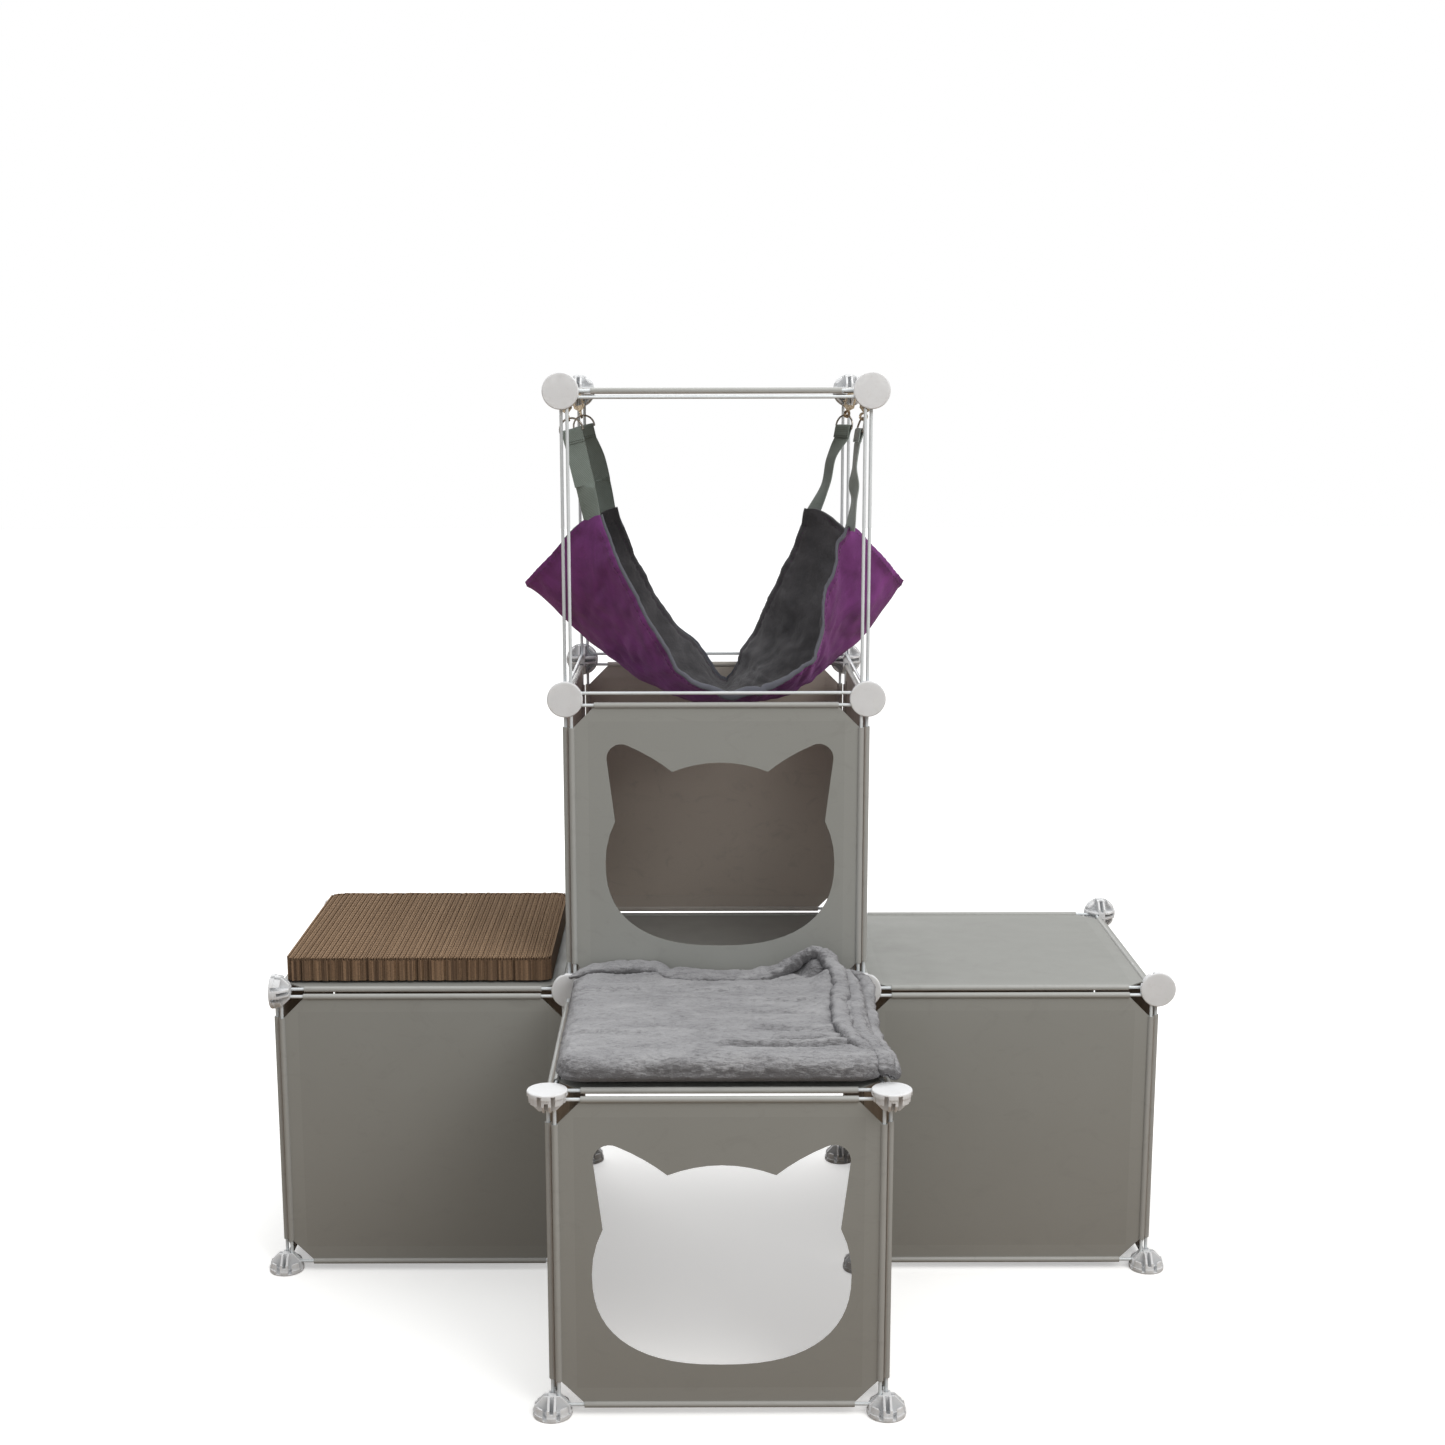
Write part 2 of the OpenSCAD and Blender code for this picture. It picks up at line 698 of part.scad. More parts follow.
module front_left_strap() { at_sling(-1, front_y) strap(); }
module back_left_strap() { at_sling(-1, back_y) strap(); }
module front_right_strap() { at_sling(1, front_y) rotate(front_right_swivel) strap(); }
module back_right_strap() { at_sling(1, back_y) rotate(back_right_swivel) strap(); }
module front_left_d_ring() { at_sling(-1, front_y) d_ring(); }
module back_left_d_ring() { at_sling(-1, back_y) d_ring(); }
module front_right_d_ring() { at_sling(1, front_y) rotate(front_right_swivel) d_ring(); }
module back_right_d_ring() { at_sling(1, back_y) rotate(back_right_swivel) d_ring(); }
module front_left_hook() { at_sling(-1, front_y) hook(); }
module back_left_hook() { at_sling(-1, back_y) hook(); }
module front_right_hook() { at_sling(1, front_y) hook(front_right_swivel); }
module back_right_hook() { at_sling(1, back_y) hook(back_right_swivel); }
module front_left_gate() { at_sling(-1, front_y) gate(); }
module back_left_gate() { at_sling(-1, back_y) gate(); }
module front_right_gate() { at_sling(1, front_y) gate(); }
module back_right_gate() { at_sling(1, back_y) gate(); }
module left_gate_pins() {
    at_sling(-1, front_y) gate_pin();
    at_sling(-1, back_y) gate_pin();
}
module right_gate_pins() {
    at_sling(1, front_y) gate_pin();
    at_sling(1, back_y) gate_pin();
}

front_cube_front_sheet();
front_cube_left_sheet();
front_cube_right_sheet();
front_cube_top_sheet();
left_cube_front_sheet();
left_cube_side_sheet();
left_cube_back_sheet();
left_cube_top_sheet();
right_cube_front_sheet();
right_cube_side_sheet();
right_cube_back_sheet();
right_cube_top_sheet();
middle_cube_floor_sheet();
middle_cube_front_sheet();
middle_cube_left_sheet();
middle_cube_right_sheet();
middle_cube_back_sheet();
top_perch_sheet();
front_cube_wires();
left_cube_wires();
right_cube_wires();
middle_cube_wires();
top_perch_wire();
hammock_bay_front_frame();
hammock_bay_back_frame();
hammock_bay_left_frame();
hammock_bay_right_frame();
foot_connectors();
front_cube_top_connectors();
low_level_connectors();
middle_level_connectors();
top_level_connectors();
scratch_pad();
blanket();
hammock_bed();
front_left_strap();
back_left_strap();
front_right_strap();
back_right_strap();
front_left_d_ring();
back_left_d_ring();
front_right_d_ring();
back_right_d_ring();
front_left_hook();
back_left_hook();
front_right_hook();
back_right_hook();
front_left_gate();
back_left_gate();
front_right_gate();
back_right_gate();
left_gate_pins();
right_gate_pins();
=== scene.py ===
"""Looks of the cube-lattice cat tree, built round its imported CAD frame.

Everything is in metres in the row frame: X across the front, +Y to the back, +Z up.
The CAD panels, wires, connectors and metal fittings are shown as they are, with procedural
finishes. The soft goods are new pieces: the scratch pad, the blanket, the hammock and its straps.
"""

import json
import math
import random

import bpy
from mathutils import Matrix, Vector, noise


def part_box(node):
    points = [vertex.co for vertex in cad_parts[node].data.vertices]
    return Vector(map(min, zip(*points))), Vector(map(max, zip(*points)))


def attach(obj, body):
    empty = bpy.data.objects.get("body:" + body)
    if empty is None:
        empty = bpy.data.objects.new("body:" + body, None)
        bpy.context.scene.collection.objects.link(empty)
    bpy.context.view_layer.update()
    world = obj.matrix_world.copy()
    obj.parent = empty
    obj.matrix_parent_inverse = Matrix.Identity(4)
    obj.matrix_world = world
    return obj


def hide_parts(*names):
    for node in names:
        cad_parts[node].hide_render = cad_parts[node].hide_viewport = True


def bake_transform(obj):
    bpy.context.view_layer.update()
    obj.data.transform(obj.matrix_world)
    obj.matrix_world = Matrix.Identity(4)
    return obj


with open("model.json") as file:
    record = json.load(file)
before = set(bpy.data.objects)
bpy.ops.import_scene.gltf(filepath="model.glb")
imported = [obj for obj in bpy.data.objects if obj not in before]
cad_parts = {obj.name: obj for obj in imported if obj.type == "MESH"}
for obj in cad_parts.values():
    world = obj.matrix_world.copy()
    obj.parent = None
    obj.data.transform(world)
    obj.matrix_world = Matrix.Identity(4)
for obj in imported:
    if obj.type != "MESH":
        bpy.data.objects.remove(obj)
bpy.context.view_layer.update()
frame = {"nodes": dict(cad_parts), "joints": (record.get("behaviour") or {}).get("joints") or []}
random.seed(7)

# The lattice: its pitch, its lowest level above the floor, and how far a wire ring lies inside its square
PITCH = 0.37
NODE_Z = 0.00425
RING_INSET = 0.0075

# The camera stands in front of the tree, a little above it, and looks slightly down
CAMERA_PLACE = (-0.0209, -2.389, 1.1136)
CAMERA_RIGHT = (1.0, -0.0005, -0.0021)
CAMERA_FORWARD = (0.0001, 0.9821, -0.1883)
CAMERA_SENSOR_MM, CAMERA_LENS_MM = 36, 49.26
CAMERA_SHIFT = (0.0159, 0.0331)

# The world's strength on the object, the colour that the floor reflects, and its glow to the camera
AMBIENT = 0.57
FLOOR_BOUNCE = (0.22, 0.155, 0.095)
FLOOR_GLOW = 0.40
FLOOR_REACH = 14


# ---------- camera, light and floor ----------

def add_camera():
    data = bpy.data.cameras.new("camera")
    data.sensor_width = CAMERA_SENSOR_MM
    data.lens = CAMERA_LENS_MM
    data.shift_x, data.shift_y = CAMERA_SHIFT
    camera = bpy.data.objects.new("camera", data)
    right = Vector(CAMERA_RIGHT).normalized()
    forward = Vector(CAMERA_FORWARD).normalized()
    up = right.cross(forward)
    turn = Matrix((right, up, -forward)).transposed().to_4x4()
    camera.matrix_world = Matrix.Translation(CAMERA_PLACE) @ turn
    bpy.context.scene.collection.objects.link(camera)
    bpy.context.scene.camera = camera


def add_lamp(name, place, target, size, power, colour=(1, 1, 1)):
    data = bpy.data.lights.new(name, "AREA")
    data.shape = "RECTANGLE"
    data.size, data.size_y = size
    data.energy = power
    data.color = colour
    lamp = bpy.data.objects.new(name, data)
    lamp.location = place
    lamp.rotation_mode = "QUATERNION"
    lamp.rotation_quaternion = (Vector(target) - Vector(place)).to_track_quat("-Z", "Y")
    bpy.context.scene.collection.objects.link(lamp)


def add_studio():
    """White backdrop, four soft lamps and a pale floor. The backdrop and the floor look lighter
    to the camera than the light they throw on the object."""
    scene = bpy.context.scene
    scene.view_settings.view_transform = "Standard"
    world = bpy.data.worlds.new("studio")
    world.use_nodes = True
    nodes, links = world.node_tree.nodes, world.node_tree.links
    backdrop = nodes["Background"]
    seen = nodes.new("ShaderNodeLightPath").outputs["Is Camera Ray"]
    strength = nodes.new("ShaderNodeMapRange")
    strength.inputs["To Min"].default_value = AMBIENT
    links.new(seen, strength.inputs["Value"])
    links.new(strength.outputs[0], backdrop.inputs["Strength"])
    backdrop.inputs["Color"].default_value = (1.0, 1.0, 1.0, 1)
    scene.world = world
    add_lamp("key", (1.5, -1.7, 2.5), (0, 0, 0.5), (1.8, 1.4), 46, (1.0, 0.99, 0.97))
    add_lamp("top", (-0.2, 0.3, 3.4), (0, 0.05, 0.4), (2.6, 2.6), 46)
    add_lamp("fill", (-0.7, -3.2, 1.5), (0, 0.2, 0.7), (1.6, 1.2), 7)
    add_lamp("back", (-0.7, 2.9, 1.7), (0, 0.2, 0.5), (2.2, 1.4), 25)

    r = FLOOR_REACH
    floor = new_mesh("floor", [(-r, -r, 0), (r, -r, 0), (r, r, 0), (-r, r, 0)], [(0, 1, 2, 3)])
    f = Finish("floor_paper", (0.80, 0.80, 0.79), 0.85)
    seen = f.node("ShaderNodeLightPath").outputs["Is Camera Ray"]
    paper = f.mix(f.noise(1.4, 3), (0.76, 0.76, 0.75), (0.82, 0.82, 0.81))
    f.colour(f.mix(seen, FLOOR_BOUNCE, paper))
    x, y = f.axes()[:2]
    away = f.math("SQRT", f.math("ADD", f.math("MULTIPLY", x, x), f.math("MULTIPLY", y, y)))
    glow = f.math("MULTIPLY", seen, f.ramp(away, 0.6, 5.0, 1.0, 1.9))
    f.tree.links.new(f.mix(glow, (0, 0, 0), (1, 1, 1)), f.shader.inputs["Emission Color"])
    f.shader.inputs["Emission Strength"].default_value = FLOOR_GLOW
    floor.data.materials.append(f.material)


# ---------- finishes ----------

class Finish:
    """A material grown from one Principled shader, in object coordinates."""

    def __init__(self, name, colour, roughness, **sockets):
        self.material = bpy.data.materials.new(name)
        self.material.use_nodes = True
        self.tree = self.material.node_tree
        self.shader = self.tree.nodes["Principled BSDF"]
        self.shader.inputs["Base Color"].default_value = (*colour, 1)
        self.shader.inputs["Roughness"].default_value = roughness
        for socket, value in sockets.items():
            self.shader.inputs[socket.replace("_", " ")].default_value = value
        self.place = self.node("ShaderNodeTexCoord").outputs["Object"]
        self.normal = None

    def node(self, kind, inputs=None, **settings):
        made = self.tree.nodes.new(kind)
        for key, value in settings.items():
            setattr(made, key, value)
        for key, value in (inputs or {}).items():
            if isinstance(value, bpy.types.NodeSocket):
                self.tree.links.new(value, made.inputs[key])
            else:
                made.inputs[key].default_value = value
        return made

    def stretched(self, stretch):
        return self.node("ShaderNodeMapping", {"Vector": self.place, "Scale": stretch}).outputs[0]

    def noise(self, scale, detail=2, at=None, rough=0.5, distortion=0.0):
        return self.node("ShaderNodeTexNoise", {
            "Vector": at or self.place, "Scale": scale, "Detail": detail,
            "Roughness": rough, "Distortion": distortion}).outputs[0]

    def wave(self, scale, axis):
        return self.node("ShaderNodeTexWave", {"Vector": self.place, "Scale": scale},
                         bands_direction=axis).outputs["Fac"]

    def math(self, operation, *values):
        return self.node("ShaderNodeMath", dict(enumerate(values)), operation=operation).outputs[0]

    def ramp(self, value, low, high, start=0.0, end=1.0):
        return self.node("ShaderNodeMapRange", {
            "Value": value, "From Min": low, "From Max": high,
            "To Min": start, "To Max": end}).outputs[0]

    def mix(self, factor, a, b):
        made = self.node("ShaderNodeMix", {0: factor}, data_type="RGBA", clamp_factor=False)
        for socket, value in ((made.inputs[6], a), (made.inputs[7], b)):
            if isinstance(value, bpy.types.NodeSocket):
                self.tree.links.new(value, socket)
            else:
                socket.default_value = (*value, 1)
        return made.outputs[2]

    def axes(self, at=None):
        return self.node("ShaderNodeSeparateXYZ", {0: at or self.place}).outputs

    def surface_normal(self):
        return self.node("ShaderNodeNewGeometry").outputs["Normal"]

    def colour(self, socket):
        self.tree.links.new(socket, self.shader.inputs["Base Color"])

    def roughness(self, socket):
        self.tree.links.new(socket, self.shader.inputs["Roughness"])

    def bump(self, height, depth, strength=1.0):
        inputs = {"Height": height, "Distance": depth, "Strength": strength}
        if self.normal:
            inputs["Normal"] = self.normal
        self.normal = self.node("ShaderNodeBump", inputs).outputs[0]
        self.tree.links.new(self.normal, self.shader.inputs["Normal"])


# Bands beside each lattice line, by their middle and half width: the tubular hem and the doubled border
HEM_BAND = (RING_INSET, 0.0037)
BORDER_BAND = (0.0175, 0.0100)
# The panels' outer sides are painted a little browner and darker from this height down to the floor, as a
# painted reflection of a warm floor and painted shade low down
BROWN_BELOW = 0.42


def sheet_finish(name, inward):
    """Matt plastic sheet. Its inner side, which faces along inward, is painted a warmer, lighter grey as
    painted light (light through the sheet and warm bounce inside the cubes); the tubular hems and the
    doubled border are a little lighter than the web."""
    f = Finish(name, (0.3, 0.3, 0.28), 0.48, Coat_Weight=0.06, Coat_Roughness=0.35)
    x, y, z = f.axes()
    hems, borders = [], []
    for axis, line in ((x, PITCH / 2), (y, 0.0), (z, NODE_Z)):
        away = f.math("PINGPONG", f.math("SUBTRACT", axis, line), PITCH / 2)
        hems.append(f.math("COMPARE", away, *HEM_BAND))
        borders.append(f.math("COMPARE", away, *BORDER_BAND))
    hem = f.math("MAXIMUM", f.math("MAXIMUM", hems[0], hems[1]), hems[2])
    border = f.math("MAXIMUM", f.math("MAXIMUM", borders[0], borders[1]), borders[2])

    cloud = f.noise(7.0, 4)
    grain = f.noise(900.0, 3, rough=0.6)
    outer = f.mix(cloud, (0.270, 0.276, 0.260), (0.298, 0.304, 0.287))
    # Painted reflection and shade: browner and darker towards the floor
    outer = f.mix(f.ramp(z, 0.0, BROWN_BELOW, 0.55, 0.0), outer, (0.238, 0.220, 0.192))
    # Painted light: the inner side is painted lighter and warmer than the outer, for light through the
    # sheet and warm bounce inside the cubes
    inner = f.mix(cloud, (0.47, 0.415, 0.36), (0.52, 0.455, 0.395))
    facing = f.node("ShaderNodeVectorMath", {0: f.surface_normal(), 1: inward},
                    operation="DOT_PRODUCT").outputs["Value"]
    web = f.mix(f.ramp(facing, 0.2, 0.5), outer, inner)
    web = f.mix(f.math("MULTIPLY", border, 0.07), web, (0.50, 0.50, 0.48))
    tone = f.mix(f.math("MULTIPLY", hem, 0.38), web, (0.50, 0.505, 0.49))
    # Faint rubbed arcs and smudges from handling
    smear = f.noise(16.0, 5, at=f.stretched((1.0, 1.0, 1.6)), rough=0.62, distortion=2.5)
    tone = f.mix(f.ramp(smear, 0.56, 0.70, 0.0, 0.22), tone, (0.215, 0.215, 0.20))
    f.colour(f.mix(f.ramp(grain, 0.3, 0.7, 0.0, 0.12), tone, (0.24, 0.24, 0.23)))
    f.roughness(f.ramp(f.noise(24.0, 4), 0.3, 0.7, 0.40, 0.56))
    f.bump(grain, 0.00006, 0.6)
    f.bump(f.noise(5.5, 2), 0.0016, 0.35)
    return f.material


def wire_finish():
    """Glossy white enamel on wire, with thin runs."""
    f = Finish("white_enamel", (0.66, 0.70, 0.72), 0.32, Coat_Weight=0.3, Coat_Roughness=0.2)
    drip = f.noise(60.0, 3)
    f.colour(f.mix(drip, (0.60, 0.645, 0.67), (0.71, 0.745, 0.76)))
    f.roughness(f.ramp(f.noise(240.0, 2), 0.3, 0.7, 0.26, 0.42))
    f.bump(f.noise(420.0, 2), 0.00008, 0.5)
    return f.material


def connector_finish():
    """Slightly translucent white moulding, matt and a little dusty."""
    f = Finish("white_moulding", (0.74, 0.74, 0.74), 0.70, Specular_IOR_Level=0.30,
               Subsurface_Weight=0.45, Subsurface_Radius=(1, 1, 1), Subsurface_Scale=0.006)
    cloud = f.noise(45.0, 4)
    tone = f.mix(cloud, (0.66, 0.67, 0.685), (0.73, 0.74, 0.75))
    dust = f.ramp(f.noise(160.0, 5, rough=0.7), 0.55, 0.75, 0.0, 0.3)
    f.colour(f.mix(dust, tone, (0.56, 0.55, 0.53)))
    f.roughness(f.ramp(f.noise(120.0, 3), 0.3, 0.7, 0.62, 0.78))
    f.bump(f.noise(420.0, 3), 0.00005, 0.4)
    return f.material


def metal_finish(name, light, dark, roughness):
    """Plated metal with patches of tarnish."""
    f = Finish(name, light, roughness, Metallic=1.0)
    tarnish = f.noise(420.0, 5, rough=0.65)
    f.colour(f.mix(f.ramp(tarnish, 0.42, 0.66), light, dark))
    f.roughness(f.ramp(f.noise(900.0, 3), 0.3, 0.7, roughness - 0.08, roughness + 0.14))
    f.bump(f.noise(1500.0, 3), 0.00006, 0.6)
    return f.material


def card_finish(name, light, dark, board, paper=None):
    """Kraft board: a tone of its own for every board across the pad, with fibres and flecks.
    Where paper is given, the sides that don't face up are painted in that darker colour, as painted shade
    in the cells and on the pad's front."""
    f = Finish(name, light, 0.88)
    x = f.axes()[0]
    number = f.math("FLOOR", f.math("DIVIDE", x, board))
    own = f.node("ShaderNodeTexWhiteNoise", {"W": number}, noise_dimensions="1D").outputs["Value"]
    tone = f.mix(own, dark, light)
    # Painted shade: sides that don't face up are darker than the up-facing cut edges
    if paper:
        up = f.axes(f.surface_normal())[2]
        tone = f.mix(f.ramp(up, 0.35, 0.85), paper, tone)
    fibre = f.noise(520.0, 4, at=f.stretched((1.0, 0.25, 1.0)), rough=0.7)
    tone = f.mix(f.ramp(fibre, 0.40, 0.72, 0.0, 0.55), tone, tuple(0.55 * c for c in dark))
    fleck = f.noise(1400.0, 2)
    f.colour(f.mix(f.ramp(fleck, 0.62, 0.75, 0.0, 0.4), tone, tuple(min(1, 1.5 * c) for c in light)))
    f.bump(fibre, 0.0003, 0.7)
    return f.material


def plush_finish():
    """Long-pile plush: painted light where it faces up, painted shade, dark and tufty, where it faces
    sideways.
    """
    f = Finish("grey_plush", (0.38, 0.38, 0.385), 0.95, Sheen_Weight=0.30, Sheen_Roughness=0.45,
               Sheen_Tint=(0.9, 0.9, 0.95, 1))
    tufts = f.noise(300.0, 4, at=f.stretched((0.40, 1.0, 1.25)), rough=0.72, distortion=0.5)
    streak = f.noise(30.0, 6, at=f.stretched((0.45, 1.0, 1.0)), rough=0.68, distortion=0.6)
    # Painted light and shade: the colour runs from dark to light as the surface, with noise, faces up
    lean = f.axes(f.surface_normal())[2]
    for pile, share in ((tufts, 2.4), (streak, 0.9), (f.noise(850.0, 3, rough=0.7), 0.9)):
        lean = f.math("ADD", lean, f.math("MULTIPLY", f.math("SUBTRACT", pile, 0.5), share))
    lit = f.ramp(lean, 0.18, 0.98)
    top = f.mix(f.ramp(streak, 0.36, 0.64), (0.266, 0.266, 0.276), (0.365, 0.365, 0.375))
    f.colour(f.mix(lit, (0.116, 0.114, 0.118), top))
    f.bump(tufts, 0.0030, 0.9)
    f.bump(f.noise(1300.0, 3), 0.0007, 0.6)
    return f.material


def nylon_finish():
    """Purple peached nylon: a soft sheen, cloudy pressing marks and a fine weave."""
    f = Finish("purple_nylon", (0.15, 0.036, 0.14), 0.60, Sheen_Weight=0.22, Sheen_Roughness=0.35,
               Sheen_Tint=(0.85, 0.45, 0.85, 1))
    cloud = f.noise(20.0, 6, at=f.stretched((1.0, 1.0, 0.55)), rough=0.64, distortion=0.7)
    tone = f.mix(f.ramp(cloud, 0.34, 0.68), (0.122, 0.023, 0.132), (0.245, 0.050, 0.265))
    weave = f.math("MULTIPLY", f.wave(430.0, "Z"), f.wave(430.0, "Y"))
    f.colour(f.mix(f.ramp(weave, 0.0, 1.0, 0.0, 0.20), tone, (0.27, 0.075, 0.28)))
    f.roughness(f.ramp(cloud, 0.3, 0.7, 0.56, 0.72))
    f.bump(weave, 0.00025, 0.5)
    f.bump(f.noise(75.0, 5, rough=0.6), 0.0016, 0.55)
    return f.material


def fleece_finish():
    """Charcoal fleece with a short, slightly pilled nap."""
    f = Finish("charcoal_fleece", (0.04, 0.038, 0.042), 0.98, Sheen_Weight=0.35,
               Sheen_Roughness=0.6, Sheen_Tint=(0.5, 0.5, 0.52, 1))
    cloud = f.noise(26.0, 5, rough=0.62)
    tone = f.mix(f.ramp(cloud, 0.35, 0.68), (0.030, 0.029, 0.033), (0.058, 0.055, 0.061))
    nap = f.noise(1100.0, 4, rough=0.75)
    f.colour(f.mix(f.ramp(nap, 0.5, 0.72, 0.0, 0.5), tone, (0.085, 0.082, 0.088)))
    f.bump(nap, 0.0007, 0.8)
    f.bump(f.noise(190.0, 4), 0.0012, 0.5)
    return f.material


def webbing_finish(name, light, dark):
    """Ribbed polyester webbing, also used for the binding and the thread."""
    f = Finish(name, light, 0.72, Sheen_Weight=0.25, Sheen_Roughness=0.45)
    cloud = f.noise(70.0, 4)
    tone = f.mix(cloud, dark, light)
    weave = f.math("MULTIPLY", f.wave(330.0, "Z"), f.wave(230.0, "DIAGONAL"))
    f.colour(f.mix(f.ramp(weave, 0.0, 1.0, 0.0, 0.35), tone, tuple(0.6 * c for c in dark)))
    f.bump(weave, 0.0005, 0.7)
    f.bump(f.noise(900.0, 3), 0.0003, 0.5)
    return f.material


# ---------- mesh helpers ----------

def new_mesh(name, verts, faces, materials=(), smooth=True):
    data = bpy.data.meshes.new(name)
    data.from_pydata([tuple(v) for v in verts], [], [tuple(f) for f in faces])
    for m in materials:
        data.materials.append(m)
    data.polygons.foreach_set("use_smooth", [smooth] * len(data.polygons))
    data.update()
    made = bpy.data.objects.new(name, data)
    bpy.context.scene.collection.objects.link(made)
    return made


def smooth_step(value, low, high):
    f = min(1.0, max(0.0, (value - low) / (high - low)))
    return f * f * (3 - 2 * f)


def hump(value, width):
    return math.exp(-(value / width) ** 2)


def wobble(x, y, z):
    """Smooth noise at a place, from about -1 to 1."""
    return noise.noise(Vector((x, y, z)))


def band(value, low, start, end, high):
    """0 up to low, 1 from start to end, and 0 again from high on."""
    return smooth_step(value, low, start) * (1 - smooth_step(value, end, high))


def ellipse(half_wide, half_tall, count):
    """A closed section of count points, as (side, up)."""
    turns = [math.tau * k / count for k in range(count)]
    return [(half_wide * math.cos(a), half_tall * math.sin(a)) for a in turns]


def spline(knots, f):
    """Point at f, from 0 to 1, of a smooth curve through evenly spaced knots."""
    place = min(max(f, 0.0), 1.0) * (len(knots) - 1)
    i = min(int(place), len(knots) - 2)
    u = place - i
    a, b, c, d = (Vector(knots[min(max(j, 0), len(knots) - 1)]) for j in range(i - 1, i + 3))
    return 0.5 * (2 * b + u * (c - a) + u * u * (2 * a - 5 * b + 4 * c - d)
                  + u ** 3 * (3 * b - a - 3 * c + d))


def quads(rows, columns, closed=False, start=0):
    """Faces of a grid of rows x columns points; closed joins the last column to the first."""
    return [(start + i * columns + j, start + i * columns + (j + 1) % columns,
             start + (i + 1) * columns + (j + 1) % columns, start + (i + 1) * columns + j)
            for i in range(rows - 1) for j in range(columns if closed else columns - 1)]


def sweep(path, section, start=0):
    """Closed tube along path: section(f) gives the offsets of a ring in (side, up)."""
    verts, count = [], len(section(0.0))
    for i, p in enumerate(path):
        before, after = path[max(i - 1, 0)], path[min(i + 1, len(path) - 1)]
        along = (after - before).normalized()
        side = along.cross(Vector((0, 0, 1)))
        side = side.normalized() if side.length > 1e-6 else Vector((1, 0, 0))
        up = side.cross(along)
        verts += [p + side * a + up * b for a, b in section(i / (len(path) - 1))]
    faces = quads(len(path), count, closed=True, start=start)
    faces.append(tuple(start + k for k in range(count)))
    last = start + (len(path) - 1) * count
    faces.append(tuple(last + k for k in reversed(range(count))))
    return verts, faces


def add_stitch(verts, faces, a, b, lift, radius):
    """Adds one stitch of thread from a to b, raised by lift in its middle."""
    thread = ellipse(radius, radius, 6)
    more_verts, more_faces = sweep([a, (a + b) / 2 + lift, b], lambda f: thread, len(verts))
    verts += more_verts
    faces += more_faces


# ---------- finishes of the CAD nodes ----------

# Into its cube from each side's sheets: the sheets' faces that look this way are painted lighter and
# warmer, as painted light
INWARD = {"front": (0, 1, 0), "back": (0, -1, 0), "left": (1, 0, 0), "right": (-1, 0, 0),
          "top": (0, 0, -1)}


def inward_side(node):
    """The face of its cube that a sheet closes."""
    if node.endswith(("top_sheet", "floor_sheet", "perch_sheet")):
        return "top"
    if node.endswith("side_sheet"):
        return "left" if node.startswith("left") else "right"
    return node.rsplit("_", 2)[1]


def paint_frame():
    sheets = {side: sheet_finish(f"sheet_{side}", way) for side, way in INWARD.items()}
    wire, moulding = wire_finish(), connector_finish()
    brass = metal_finish("pale_brass", (0.70, 0.58, 0.42), (0.30, 0.23, 0.16), 0.30)
    nickel = metal_finish("dark_nickel", (0.46, 0.42, 0.37), (0.20, 0.18, 0.16), 0.28)
    for name, node in frame["nodes"].items():
        if name.endswith("_sheet"):
            finish = sheets[inward_side(name)]
        elif "wire" in name or name.endswith("_frame"):
            finish = wire
        elif name.endswith("_connectors"):
            finish = moulding
        elif name.endswith(("_hook", "_gate")):
            finish = brass
        elif name.endswith(("_d_ring", "_pins")):
            finish = nickel
        else:
            continue
        for slot in node.material_slots:
            slot.material = finish


# ---------- scratch pad ----------

# The pad is strips of corrugated board on edge, side by side across it
BOARD = 0.0035
FRONT_CORNER, BACK_CORNER = 0.012, 0.020
# How far the cut ends of the strips and of the liners stop short of its front and back
STRIP_ENDS = (0.0003, 0.0038)
LINER_ENDS = (0.0, 0.0007)
LINER_HALF = 0.00035
# The open cells on top: their depth, the closed rim behind them, and the waves of the fluted paper
CELL_DEPTH = 0.006
RIM_WIDTH, RIM_DROP = 0.004, 0.0012
FLUTE_LENGTH, FLUTE_STEPS = 0.0088, 6
FLUTE_HALF = 0.0005
FLUTE_DROP, FLUTE_SUNK = 0.0017, 0.0005
FLUTE_SWELL = 0.0013
GROOVE = 0.0004
# Every other liner is an inner one, cut lower and shorter
INNER_DROP, INNER_SHORT = 0.0030, 0.0022
OUTER_DROP = (0.0014, 0.0020)


def pad_inset(x, low, high, r):
    """How far corners rounded to r pull the pad's front or back in at x."""
    short = max(0.0, r - min(x - low, high - x))
    return r - math.sqrt(max(0.0, r * r - short * short))


def slab(verts, faces, x0, x1, y0, y1, z0, z1):
    start = len(verts)
    verts += [(x, y, z) for z in (z0, z1) for x, y in ((x0, y0), (x1, y0), (x1, y1), (x0, y1))]
    faces += [tuple(start + k for k in f) for f in
              ((3, 2, 1, 0), (4, 5, 6, 7), (0, 1, 5, 4), (1, 2, 6, 5), (2, 3, 7, 6), (3, 0, 4, 7))]


